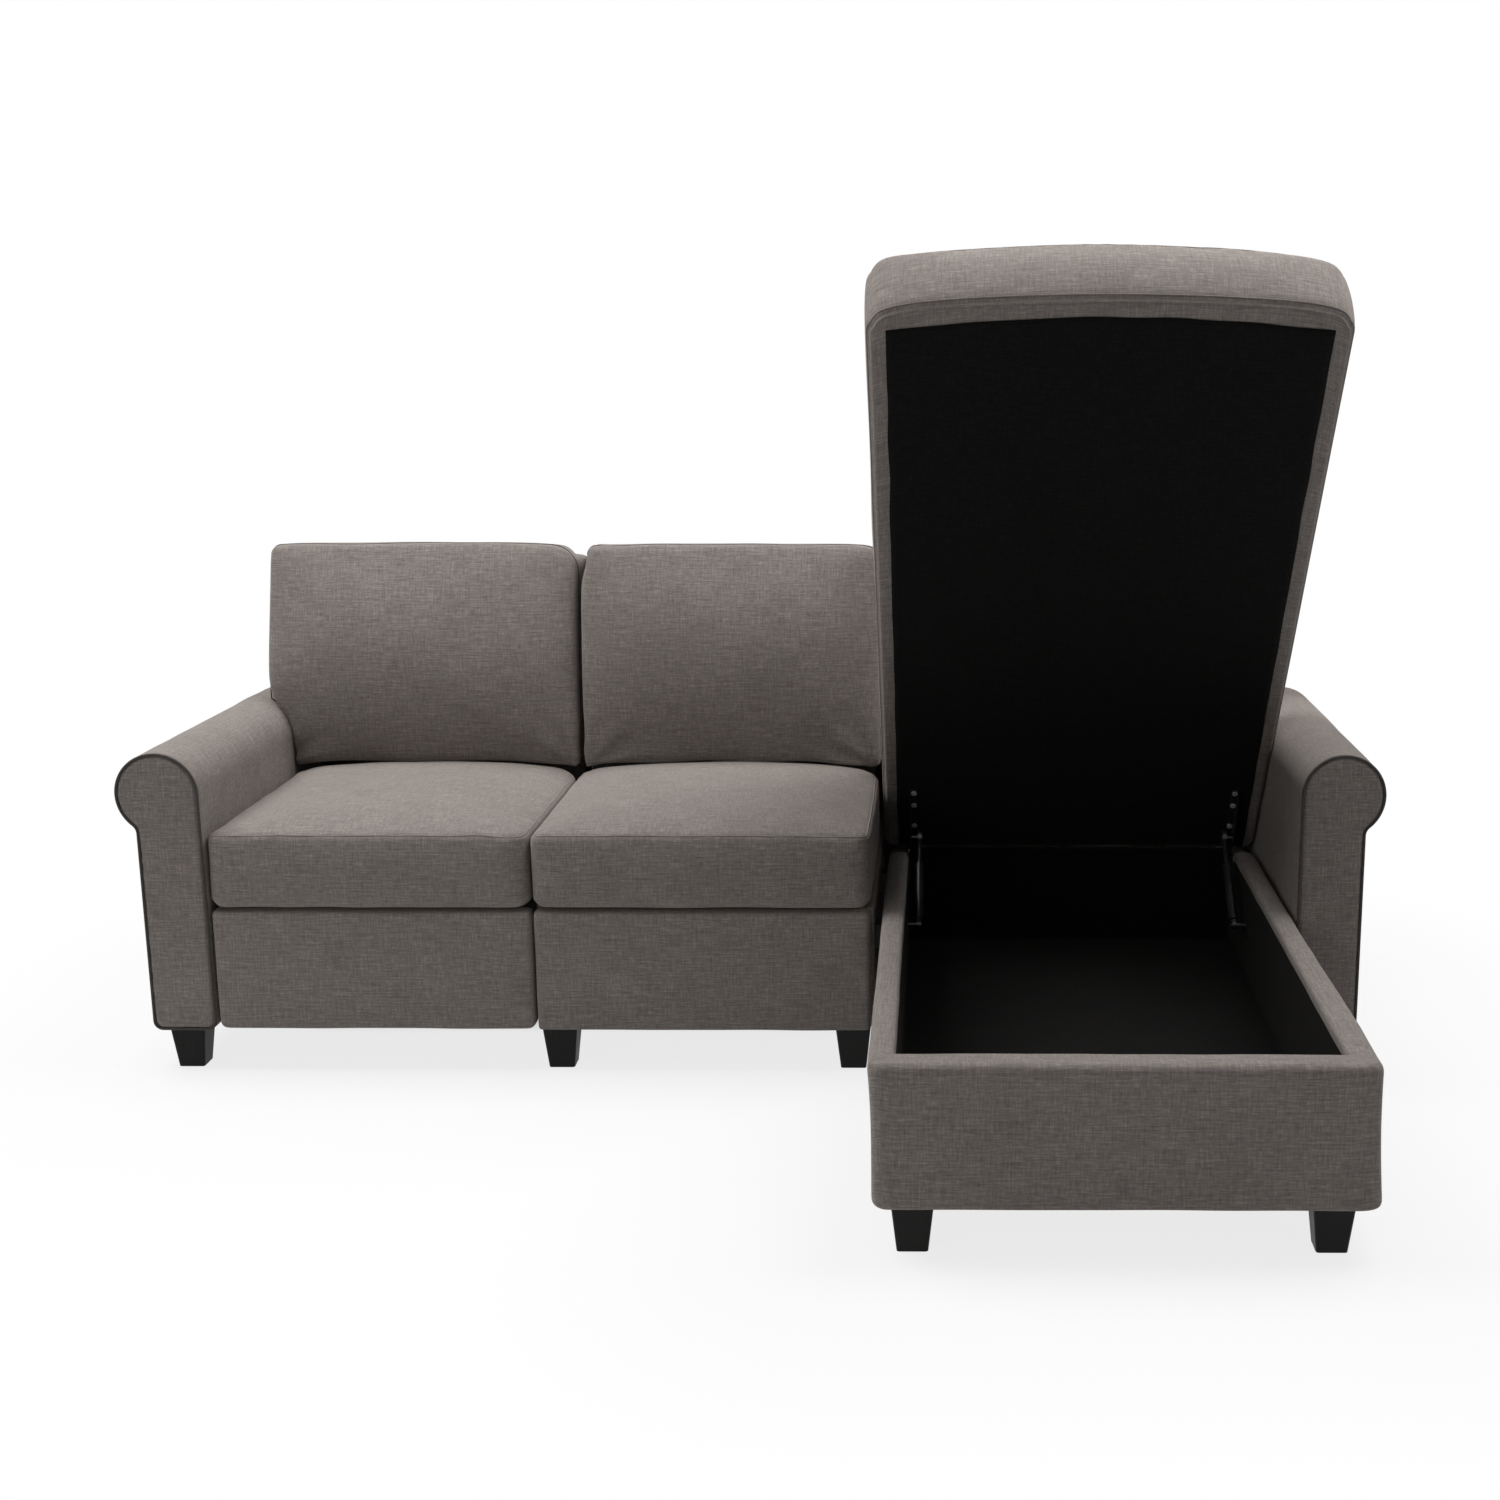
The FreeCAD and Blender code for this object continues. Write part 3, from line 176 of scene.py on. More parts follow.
def shell(grid, open_top=False):
    """The outer surface of a lattice: points, quads, weave places of their corners, and point numbers."""
    index = {}
    points = []
    quads = []
    weave = []

    def vertex(key):
        if key not in index:
            index[key] = len(points)
            points.append([grid[axis][key[axis]] for axis in range(3)])
        return index[key]

    for axis in range(3):
        first, second = [other for other in range(3) if other != axis]
        for side in (0, len(grid[axis]) - 1):
            if open_top and axis == 2 and side:
                continue
            for m, n in np.ndindex(len(grid[first]) - 1, len(grid[second]) - 1):
                spots = ((m, n), (m + 1, n), (m + 1, n + 1), (m, n + 1))
                corners = [lattice_key(axis, side, *spot) for spot in spots]
                if (side > 0) == (axis == 1):
                    corners.reverse()
                quads.append([vertex(key) for key in corners])
                weave += [(grid[first][key[first]], grid[second][key[second]]) for key in corners]
    return np.array(points), quads, np.array(weave), index


def block(low, high, fine=finest_step, coarse=(coarse_step,) * 3, open_top=False):
    """A block's surface, each point's share of its width, depth and height, and its lattice for ring."""
    grid = [places(low[axis], high[axis], fine, coarse[axis]) for axis in range(3)]
    points, quads, weave, index = shell(grid, open_top)
    return points, quads, weave, (points - low) / (high - low), (grid, index)


def ring(lattice, axis, level):
    """Point numbers once round a block, at one place along the axis. Level -1 is the last place."""
    grid, index = lattice
    first, second = [len(grid[other]) - 1 for other in range(3) if other != axis]
    spots = [(place, 0) for place in range(first)]
    spots += [(first, place) for place in range(second)]
    spots += [(place, second) for place in range(first, 0, -1)]
    spots += [(0, place) for place in range(second, 0, -1)]
    return [index[lattice_key(axis, level % len(grid[axis]), *spot)] for spot in spots]


def grid_faces(rows, columns, turned=False):
    """Quads over rows of points. Turned ones face the other way."""
    steps = (0, columns, columns + 1, 1) if turned else (0, 1, columns + 1, columns)
    starts = [row * columns + column for row in range(rows - 1) for column in range(columns - 1)]
    return [[start + step for step in steps] for start in starts]


def wrapped_faces(run, count, girth, closing=0.0):
    """Quads and weave places round closed rows of points. run is how far along each row lies."""
    rows = len(run)
    ends = [*run[1:], run[-1] + closing]
    quads, weave = [], []
    for row in range(rows if closing else rows - 1):
        start = row * count
        following = (row + 1) % rows * count
        for turn in range(count):
            beyond = (turn + 1) % count
            quads.append([start + turn, start + beyond, following + beyond, following + turn])
            low = girth * turn / count
            high = girth * (turn + 1) / count
            weave += [(low, run[row]), (high, run[row]), (high, ends[row]), (low, ends[row])]
    return quads, np.array(weave)


def turned_over(quads, weave):
    """The same faces seen from their other side."""
    return [quad[::-1] for quad in quads], weave.reshape(-1, 4, 2)[:, ::-1].reshape(-1, 2)


def laid(quads, spots):
    """The weave place of each quad corner, from the place of each point."""
    return np.asarray(spots, float)[np.array(quads).ravel()]


def arch(share):
    return np.clip(4 * share * (1 - share), 0, 1)


def plateau(share, power=3.0):
    """0 at both ends and nearly 1 over most of the middle."""
    return 1 - np.abs(2 * np.clip(share, 0, 1) - 1) ** power


def smooth_step(value, low, high):
    share = np.clip((value - low) / (high - low), 0, 1)
    return share * share * (3 - 2 * share)


def bell(value, middle, width):
    """1 at the middle, falling off to 0 on both sides."""
    return np.exp(-((value - middle) / width) ** 2)


def bulged(share, bulge, power):
    """A move outwards at both sides, by the left and the right bulge."""
    return np.abs(2 * share - 1) ** power * np.where(share > 0.5, bulge[1], -bulge[0])


def unevenness(points, length, seed):
    """Soft uneven waves of about the given length, the same on each run."""
    rng = np.random.default_rng(seed)
    total = np.zeros(len(points))
    for _ in range(7):
        direction = rng.normal(size=3)
        direction /= np.linalg.norm(direction)
        size = length * rng.uniform(0.6, 1.5)
        total += np.sin(points @ direction * (2 * math.pi / size) + rng.uniform(0, 2 * math.pi))
    return total / 7


def rounded_block(points, low, high, corner_low, corner_high, front_edge, rear_edge):
    """Rounds a block: its outline seen from the front, and its front and rear edges."""
    middle_z = (low[2] + high[2]) / 2
    corner = np.where(points[:, 2] < middle_z, corner_low, corner_high)
    inner_x = np.clip(points[:, 0], low[0] + corner, high[0] - corner)
    inner_z = np.clip(points[:, 2], low[2] + corner, high[2] - corner)
    away_x = points[:, 0] - inner_x
    away_z = points[:, 2] - inner_z
    length = np.hypot(away_x, away_z)
    out = np.maximum(np.abs(away_x), np.abs(away_z))
    y = points[:, 1].copy()
    for edge, depth, sign in ((front_edge, y - low[1], 1), (rear_edge, high[1] - y, -1)):
        over = np.maximum(out - (corner - edge), 0)
        deep = np.maximum(edge - depth, 0)
        reach = np.maximum(over, deep)
        scale = np.where((over > 0) & (deep > 0), reach / np.maximum(np.hypot(over, deep), 1e-9), 1)
        at_edge = (out > corner - edge) & (deep > 0)
        out = np.where(at_edge, corner - edge + over * scale, out)
        new_y = low[1] + edge - deep * scale if sign > 0 else high[1] - edge + deep * scale
        y = np.where(at_edge, new_y, y)
    factor = np.where(length > 1e-9, out / np.maximum(length, 1e-9), 0)
    return np.column_stack([inner_x + away_x * factor, y, inner_z + away_z * factor])


def rounded_slab(points, low, high, corner_front, corner_rear, bottom_edge, top_edge):
    """Rounds a block: its outline seen from above, and its bottom and top edges."""
    order = [0, 2, 1]
    turned = rounded_block(
        points[:, order], low[order], high[order], corner_front, corner_rear, bottom_edge, top_edge,
    )
    return turned[:, order]


def outward(points, quads):
    """Outward direction at each point."""
    corners = points[np.array(quads)]
    across = np.cross(corners[:, 2] - corners[:, 0], corners[:, 3] - corners[:, 1])
    normals = np.zeros_like(points)
    for column in range(4):
        np.add.at(normals, np.array(quads)[:, column], across)
    return normals / np.maximum(np.linalg.norm(normals, axis=1, keepdims=True), 1e-12)


def pushed_out(points, quads, distance):
    """Moves each point outwards by its own distance."""
    return points + outward(points, quads) * distance[:, None]


def run_along(line):
    """How far along a line each of its points lies."""
    return np.concatenate([[0], np.cumsum(np.linalg.norm(np.diff(line, axis=0), axis=1))])


def distance_to_line(points, line):
    """Distance from each point to the nearest point of a densely sampled line."""
    nearest = np.full(len(points), np.inf)
    for start in range(0, len(line), 64):
        part = line[start:start + 64]
        gaps = np.linalg.norm(points[:, None] - part[None], axis=2).min(axis=1)
        nearest = np.minimum(nearest, gaps)
    return nearest


def relaxed(points, quads, held, rounds):
    """Evens out creases by moving each point towards the middle of its neighbours, except held ones."""
    faces = np.array(quads)
    sides = np.concatenate([faces[:, [0, 1]], faces[:, [1, 2]], faces[:, [2, 3]], faces[:, [3, 0]]])
    count = np.zeros(len(points))
    np.add.at(count, sides[:, 0], 1)
    np.add.at(count, sides[:, 1], 1)
    share = 0.5 * (1 - held)[:, None]
    for _ in range(rounds):
        total = np.zeros_like(points)
        np.add.at(total, sides[:, 0], points[sides[:, 1]])
        np.add.at(total, sides[:, 1], points[sides[:, 0]])
        points = points + share * (total / count[:, None] - points)
    return points


def lowered_at_seam(points, quads, seam, groove=seam_groove, reach=seam_reach):
    """Sinks the surface beside a seam."""
    gap = distance_to_line(points, points[seam])
    return pushed_out(points, quads, -groove * bell(gap, 0, reach))


# Making pieces

def add_object(name, data):
    made = bpy.data.objects.new(name, data)
    bpy.context.scene.collection.objects.link(made)
    return made


def make_piece(
    name, points, quads, weave, replaced=(), fill=None, body="root", slot="taupe_fabric", finish=None,
    smooth=1,
):
    """A piece of the scene, in the finish of its slot unless another is named."""
    mesh = bpy.data.meshes.new(name)
    mesh.from_pydata(np.asarray(points).tolist(), [], [list(map(int, quad)) for quad in quads])
    layer = mesh.uv_layers.new(name="weave")
    layer.data.foreach_set("uv", np.asarray(weave, float).ravel())
    mesh.polygons.foreach_set("use_smooth", [True] * len(mesh.polygons))
    mesh.materials.append(finishes[finish or slot])
    mesh.update()
    piece = add_object(name, mesh)
    if replaced:
        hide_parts(*replaced)
    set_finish(piece, slot)
    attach(piece, body)
    if smooth:
        rounding = piece.modifiers.new("rounding", "SUBSURF")
        rounding.levels = smooth
        rounding.render_levels = smooth
    return piece


def thicken(piece, thickness, offset=-1):
    solid = piece.modifiers.new("cloth_thickness", "SOLIDIFY")
    solid.thickness = thickness
    solid.offset = offset


def make_cloth(name, points, rows, spots, thickness, turned=False, offset=-1, **look):
    """A thin cloth over rows of points. The spots are the weave places of the points."""
    quads = grid_faces(rows, len(points) // rows, turned)
    cloth = make_piece(name, points, quads, laid(quads, spots), **look)
    thicken(cloth, thickness, offset)
    return cloth


def tube(line, radius, sides=8):
    """A round strand along a closed line of points."""
    ahead = np.roll(line, -1, axis=0) - np.roll(line, 1, axis=0)
    ahead /= np.maximum(np.linalg.norm(ahead, axis=1, keepdims=True), 1e-12)
    side = np.cross(ahead[0], [0.31, 0.52, 0.79])
    side /= np.linalg.norm(side)
    points = []
    for place, forward in zip(line, ahead):
        side = side - forward * (side @ forward)
        side /= np.linalg.norm(side)
        up = np.cross(forward, side)
        for turn in range(sides):
            angle = 2 * math.pi * turn / sides
            points.append(place + radius * (math.cos(angle) * side + math.sin(angle) * up))
    closing = np.linalg.norm(line[0] - line[-1])
    quads, weave = wrapped_faces(run_along(line), sides, 2 * math.pi * radius, closing)
    return np.array(points), quads, weave


def add_seam(piece, name, seam, finish, radius=seam_radius):
    """A raised strand along a closed chain of the piece's own points."""
    strand = tube(points_of(piece)[seam], radius)
    return make_piece(name, *strand, body=piece["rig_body"], slot=piece["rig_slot"], finish=finish, smooth=0)


def points_of(piece):
    flat = np.empty(len(piece.data.vertices) * 3)
    piece.data.vertices.foreach_get("co", flat)
    return flat.reshape(-1, 3)


def set_points(piece, points):
    piece.data.vertices.foreach_set("co", np.asarray(points, float).ravel())
    piece.data.update()


# Cloth

puff_frames = 20
cloth_settings = {
    "quality": 5,
    "mass": 0.3,
    "tension_stiffness": 25,
    "compression_stiffness": 25,
    "shear_stiffness": 12,
    "bending_stiffness": 1.5,
    "use_pressure": True,
    "uniform_pressure_force": 4.0,
    "vertex_group_mass": "pins",
}


def puff(jobs):
    """Inflates pieces with cloth. Each point moves at most its cap, and ease is its share of the move."""
    scene = bpy.context.scene
    scene.frame_start = 1
    scene.frame_end = puff_frames
    for piece, pins, cap, ease in jobs:
        group = piece.vertex_groups.new(name="pins")
        levels = np.round(pins, 1)
        for level in np.unique(levels):
            if level > 0:
                group.add(np.flatnonzero(levels == level).tolist(), float(level), "REPLACE")
        piece.modifiers["rounding"].show_viewport = False
        cloth = piece.modifiers.new("cloth", "CLOTH")
        for setting, value in cloth_settings.items():
            setattr(cloth.settings, setting, value)
        cloth.settings.effector_weights.gravity = 0
        cloth.point_cache.frame_start = 1
        cloth.point_cache.frame_end = puff_frames
    for number in range(1, puff_frames + 1):
        scene.frame_set(number)
    depsgraph = bpy.context.evaluated_depsgraph_get()
    for piece, pins, cap, ease in jobs:
        start = points_of(piece)
        moved = points_of(piece.evaluated_get(depsgraph)) - start
        length = np.linalg.norm(moved, axis=1, keepdims=True)
        eased = cap * np.tanh(length / cap)
        moved = moved * (eased / np.maximum(length, 1e-9)) * ease[:, None]
        piece.modifiers.remove(piece.modifiers["cloth"])
        piece.vertex_groups.clear()
        piece.modifiers["rounding"].show_viewport = True
        set_points(piece, start + moved)
    scene.frame_set(1)


# Materials

def feed(tree, node, inputs):
    """Sets each input to its value, or links it to the output that feeds it."""
    for name, value in inputs.items():
        if isinstance(value, bpy.types.NodeSocket):
            tree.links.new(value, node.inputs[name])
        else:
            node.inputs[name].default_value = value


def add_node(tree, kind, inputs=None, **settings):
    node = tree.nodes.new(kind)
    for name, value in settings.items():
        setattr(node, name, value)
    feed(tree, node, inputs or {})
    return node


def stretched_noise(tree, source, scale, detail=3.0, distortion=0.0):
    """Noise on the source coordinates, stretched by the scale in each direction."""
    mapping = add_node(tree, "ShaderNodeMapping", {"Vector": source, "Scale": scale})
    noise = {"Vector": mapping.outputs["Vector"], "Scale": 1.0, "Detail": detail, "Distortion": distortion}
    return add_node(tree, "ShaderNodeTexNoise", noise).outputs["Fac"]


def mixed(tree, operation, first, second):
    return add_node(tree, "ShaderNodeMath", {0: first, 1: second}, operation=operation).outputs[0]


def ramp(tree, source, stops):
    """Colour from dark to light over the source value."""
    node = add_node(tree, "ShaderNodeValToRGB", {"Fac": source})
    elements = node.color_ramp.elements
    while len(elements) < len(stops):
        elements.new(0.5)
    for element, (place, colour) in zip(elements, stops):
        element.position = place
        element.color = (*colour, 1)
    return node.outputs["Color"]


def spread(tree, source, low, high, start=0.3, end=0.7):
    """A value between start and end turned into one between low and high."""
    ends = {"Value": source, "From Min": start, "From Max": end, "To Min": low, "To Max": high}
    return add_node(tree, "ShaderNodeMapRange", ends).outputs["Result"]


def weighted(tree, parts):
    """Sum of the sources, each times its share."""
    total = None
    for source, share in parts:
        part = mixed(tree, "MULTIPLY", source, share)
        total = part if total is None else mixed(tree, "ADD", total, part)
    return total


def start_material(name):
    material = bpy.data.materials.new(name)
    material.use_nodes = True
    return material, material.node_tree, material.node_tree.nodes["Principled BSDF"]


def add_bump(tree, shader, height, distance, strength):
    bump = add_node(tree, "ShaderNodeBump", {"Strength": strength, "Distance": distance, "Height": height})
    feed(tree, shader, {"Normal": bump.outputs["Normal"]})


def woven(
    name, tones, contrast, slub=(18.0, 330.0), thread_period=0.0016, relief=0.0006, sheen=0.25, specular=0.12,
):
    """Plain-woven cloth with uneven threads both ways. The tones run from dark to light."""
    material, tree, shader = start_material(name)
    place = add_node(tree, "ShaderNodeUVMap", uv_map="weave").outputs["UV"]
    long, fine = slub
    weft = stretched_noise(tree, place, (long, fine, 1))
    warp = stretched_noise(tree, place, (fine, long * 1.2, 1))
    short_weft = stretched_noise(tree, place, (long * 4, fine * 1.3, 1), 2.0)
    short_warp = stretched_noise(tree, place, (fine * 1.3, long * 4, 1), 2.0)
    threads = weighted(tree, ((weft, 0.31), (warp, 0.22), (short_weft, 0.27), (short_warp, 0.20)))
    cloud = stretched_noise(tree, place, (9.0, 9.0, 1), 2.0)
    patches = mixed(tree, "MULTIPLY", mixed(tree, "SUBTRACT", cloud, 0.5), 0.07)
    shade = mixed(tree, "ADD", threads, patches)
    stops = [(0.5 - contrast, tones[0]), (0.5, tones[1]), (0.5 + contrast, tones[2])]
    heights = threads
    for direction in ("X", "Y"):
        period = {"Vector": place, "Scale": 0.314 / thread_period, "Distortion": 1.5, "Detail": 1.0}
        band = add_node(tree, "ShaderNodeTexWave", period, bands_direction=direction)
        heights = mixed(tree, "ADD", heights, mixed(tree, "MULTIPLY", band.outputs["Fac"], 0.18))
    add_bump(tree, shader, heights, relief, 0.7)
    feed(tree, shader, {
        "Base Color": ramp(tree, shade, stops),
        "Roughness": spread(tree, threads, 0.98, 0.84),
        "Sheen Weight": sheen,
        "Sheen Roughness": 0.45,
        "Sheen Tint": (1.0, 0.90, 0.84, 1.0),
        "Specular IOR Level": specular,
    })
    return material


def grained(name, tones, scale, roughness, relief, metallic=0.0, specular=0.5):
    """Wood, plastic or metal with a fine grain along the piece. Roughness is a low and a high value."""
    material, tree, shader = start_material(name)
    place = add_node(tree, "ShaderNodeTexCoord").outputs["Object"]
    grain = stretched_noise(tree, place, scale, 4.0, 0.6)
    patches = stretched_noise(tree, place, (14.0, 14.0, 14.0), 2.0)
    both = mixed(tree, "MULTIPLY", mixed(tree, "ADD", grain, patches), 0.5)
    add_bump(tree, shader, grain, relief, 0.5)
    feed(tree, shader, {
        "Base Color": ramp(tree, both, [(0.36, tones[0]), (0.5, tones[1]), (0.64, tones[2])]),
        "Roughness": spread(tree, both, *roughness),
        "Metallic": metallic,
        "Specular IOR Level": specular,
    })
    return material


finishes = {
    "taupe_fabric": woven(
        "taupe_linen", [(0.120, 0.105, 0.096), (0.188, 0.167, 0.153), (0.292, 0.262, 0.241)], 0.142,
    ),
    # Seam strands: taupe linen painted lighter than the fabric, a painted highlight along each seam's raised
    # edge.
    "seam": woven(
        "taupe_linen_seam", [(0.150, 0.132, 0.120), (0.215, 0.190, 0.174), (0.31, 0.276, 0.253)], 0.15,
    ),
    # Back cushions' seam strands: taupe linen painted much darker, a painted shade for the shadow in the
    # seam's fold.
    "shaded_seam": woven(
        "taupe_linen_seam_painted_shade", [(0.05, 0.043, 0.039), (0.08, 0.07, 0.064), (0.12, 0.106, 0.097)], 0.15,
    ),
    "dark_piping": woven(
        "dark_piping", [(0.036, 0.032, 0.029), (0.055, 0.049, 0.045), (0.082, 0.073, 0.067)], 0.13,
        (60.0, 430.0),
    ),
    "black_cloth": woven(
        "black_cloth", [(0.004, 0.004, 0.004), (0.0065, 0.0062, 0.006), (0.010, 0.0096, 0.0092)], 0.14,
        (30.0, 300.0), 0.0022, 0.0004, 0.03, 0.06,
    ),
    "black_lining": woven(
        "black_lining", [(0.0022, 0.0022, 0.0021), (0.0036, 0.0035, 0.0034), (0.006, 0.0058, 0.0055)], 0.14,
        (40.0, 260.0), 0.0022, 0.0004, 0.03, 0.07,
    ),
}
# tones, grain, roughness, relief, metallic, specular
grains = {
    "frame_wood": (
        [(0.10, 0.068, 0.045), (0.15, 0.105, 0.070), (0.21, 0.15, 0.10)],
        (60.0, 60.0, 6.0), (0.5, 0.75), 0.0006,
    ),
    "black_foot": (
        [(0.0025, 0.0024, 0.0022), (0.0040, 0.0038, 0.0035), (0.007, 0.0067, 0.0062)],
        (160.0, 160.0, 12.0), (0.42, 0.58), 0.0002, 0.0, 0.16,
    ),
    "black_plastic": (
        [(0.008, 0.008, 0.008), (0.011, 0.011, 0.011), (0.016, 0.016, 0.016)],
        (500.0, 500.0, 500.0), (0.38, 0.55), 0.0001,
    ),
}
# greys, grain, roughness, metallic
steels = {
    "spring_steel": ((0.32, 0.45, 0.58), (80.0, 80.0, 80.0), (0.3, 0.5), 1.0),
    "bright_steel": ((0.020, 0.030, 0.045), (20.0, 600.0, 600.0), (0.25, 0.4), 0.0),
    "screw_steel": ((0.42, 0.50, 0.58), (400.0, 400.0, 400.0), (0.4, 0.6), 0.3),
    "mechanism_steel": ((0.012, 0.018, 0.028), (120.0, 120.0, 120.0), (0.35, 0.55), 0.0),
    "hinge_steel": ((0.007, 0.010, 0.016), (150.0, 150.0, 150.0), (0.28, 0.5), 0.0),
}
for steel, (greys, scale, roughness, metallic) in steels.items():
    tones = [(grey, grey, grey * 1.02) for grey in greys]
    grains[steel] = (tones, scale, roughness, 0.0001, metallic)
finishes.update({name: grained(name, *look) for name, look in grains.items()})


def finish_cad_nodes():
    """Gives each CAD node the finish of its own slot."""
    slots = {part["node"]: part["material_slot"] for part in record["subparts"]}
    for name, node in nodes.items():
        if not node.material_slots:
            node.data.materials.append(None)
        for place in node.material_slots:
            place.material = finishes[slots[name]]


# Seats

def make_seat(node, name, side_span, side_bulge, seed):
    """A boxed seat cushion with a crowned top and a seam round its top panel."""
    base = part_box(node)[0].z - 0.002
    low = np.array([side_span[0], 0.0, base])
    high = np.array([side_span[1], seat_rear, seat_seam_height])
    points, quads, weave, share, lattice = block(low, high)
    points = rounded_slab(points, low, high, *seat_corners, *seat_edges)
    u, v, w = share.T
    lift = smooth_step(w, 0.35, 1.0)
    crown = plateau(u, 2.8) * plateau(0.03 + 0.73 * v, 2.8)
    points[:, 2] += lift * (0.016 + 0.006 * v) * crown
    points[:, 0] += bulged(u, side_bulge, 6) * arch(v) ** 0.5 * (0.4 + 0.6 * arch(w))
    lower_corner = np.abs(2 * u - 1) ** 30 * (1 - w) ** 6 * (1 - v) ** 2
    points[:, 2] += 0.006 * lower_corner
    points[:, 1] -= 0.004 * (1 - v) ** 8 * arch(u) * arch(w)
    points = pushed_out(points, quads, 0.0018 * unevenness(points, 0.16, seed))
    seam = ring(lattice, 2, -1)
    points[seam, 2] += 0.0012 * unevenness(points[seam], 0.09, seed + 30)
    piece = make_piece(name, points, quads, weave, [node], fill=0.85)
    pins = np.zeros(len(points))
    pins[w < 0.04] = 1
    pins[v > 0.97] = 1
    pins[(u < 0.001) | (u > 0.999)] = 0.6
    pins[seam] = 0.9
    return piece, pins, seat_puff, np.ones(len(points)), seam, quads


def finish_seat(piece, seam, quads):
    set_points(piece, lowered_at_seam(points_of(piece), quads, seam, groove=0.0026, reach=0.005))
    add_seam(piece, piece.name + "_seam", seam, "seam", radius=0.0013)


# Backs

def frame_plane(z):
    return frame_foot_y + (frame_head_y - frame_foot_y) * (z - frame_foot_z) / (frame_top - frame_foot_z)


def make_back(node, name, body, foot_y, head_y, spans, corners, ear, swell, seed):
    """A pillow back cushion that wraps over its frame.

    ear is -1, 0 or 1 for the side that overhangs an arm. A larger swell puts the fullest part higher.
    """
    frame_span, side_span = spans
    low = np.array([side_span[0], 0.0, back_bottom])
    high = np.array([side_span[1], back_depth, back_top])
    points, quads, weave, share, lattice = block(low, high)
    u, v, w = share.T
    upper = np.where(u < 0.5, corners[0], corners[1])
    points = rounded_block(points, low, high, back_lower_corner, upper, *back_edges)
    x, y, z = points.T.copy()
    fullness = back_fullness * plateau(u, 5) * np.sin(math.pi * w ** swell) * (1 - v)
    front = foot_y + (head_y - foot_y) * w ** 1.7 - fullness
    flap = smooth_step(frame_span[0] + 0.001 - x, 0, 0.003)
    flap += smooth_step(x - frame_span[1] + 0.001, 0, 0.003)
    above = smooth_step(z, frame_top + 0.001, frame_top + 0.008)
    wrapped = np.clip(flap + above, 0, 1)
    rear = frame_plane(z) - 0.001 + wrapped * (back_wrap_rear - frame_plane(z))
    points[:, 1] = front + y / back_depth * (rear - front)
    points[:, 2] = z + (0.004 * arch(u) - 0.018 * v) * smooth_step(w, 0.9, 1.0)
    points[:, 2] -= 0.014 * np.abs(2 * u - 1) ** 6 * (1 - w) ** 6
    if ear:
        reach = np.clip(points[:, 2] - arm_roll_height, 0, ear_radius)
        limit = ear_middle - np.sqrt(ear_radius ** 2 - reach ** 2)
        outer = max(abs(side_span[0]), abs(side_span[1]))
        tight = np.clip((limit - ear_start) / (outer - ear_start), 0, 1)
        beyond = np.clip(points[:, 0] * ear - ear_start, 0, None)
        points[:, 0] -= ear * beyond * (1 - tight)
    near_left = bell(x, low[0], 0.06)
    if ear == 0:
        under = back_top - z
        pulled = 0.010 * (1 - smooth_step(under, 0.030, 0.085))
        pulled += 0.0045 * bell(under, 0.034, 0.012)
        points[:, 0] += pulled * near_left * (1 - smooth_step(v, 0.35, 0.80))
        points[:, 2] += 0.004 * np.exp(-((x - low[0] - 0.010) / 0.022) ** 2 - (under / 0.026) ** 2)
    if ear < 0:
        points[:, 0] += 0.006 * smooth_step(z, 0.64, 0.88) * near_left
        points[:, 0] -= 0.020 * v * smooth_step(z, 0.860, 0.884) * bell(x, high[0], 0.05)
    waves = 0.0046 * unevenness(points, 0.19, seed) * (1 - 0.8 * v) * (0.3 + 0.7 * plateau(u, 6))
    points = pushed_out(points, quads, waves)
    piece = make_piece(name, points, quads, weave, [node], fill=0.7, body=body)
    pins = np.zeros(len(points))
    pins[v > 0.6] = 1
    pins[w < 0.001] = 0.8
    seam = ring(lattice, 1, int(np.argmin(np.abs(lattice[0][1] - back_seam_depth))))
    pins[seam] = np.maximum(pins[seam], 0.8)
    ease = (arch(u) * arch(w)) ** 0.45
    return piece, pins, back_puff, ease, seam, quads


def lower_wrinkles(points, normals, corner, phase):
    """Short folds that fan out from a lower corner of a cushion."""
    away = points - np.array(corner)
    distance = np.hypot(away[:, 0], away[:, 2])
    angle = np.arctan2(away[:, 2], np.abs(away[:, 0]))
    strength = wrinkle_height * bell(distance, wrinkle_reach * 0.45, wrinkle_reach * 0.4)
    return points + normals * (strength * np.sin(wrinkle_count * angle + phase))[:, None]


def finish_back(piece, seam, quads, pins):
    points = relaxed(points_of(piece), quads, (pins > 0.7).astype(float), 12)
    normals = outward(points, quads)
    low = points.min(axis=0)
    high = points.max(axis=0)
    front_y = np.quantile(points[:, 1], 0.1)
    for corner_x, phase in ((low[0] + 0.02, 0.4), (high[0] - 0.02, 2.0)):
        corner = (corner_x, front_y, low[2] + 0.01)
        points = lower_wrinkles(points, normals, corner, phase)
    set_points(piece, lowered_at_seam(points, quads, seam, groove=0.0030, reach=0.007))
    add_seam(piece, piece.name + "_seam", seam, "shaded_seam", radius=0.0016)


# Flat padded panels

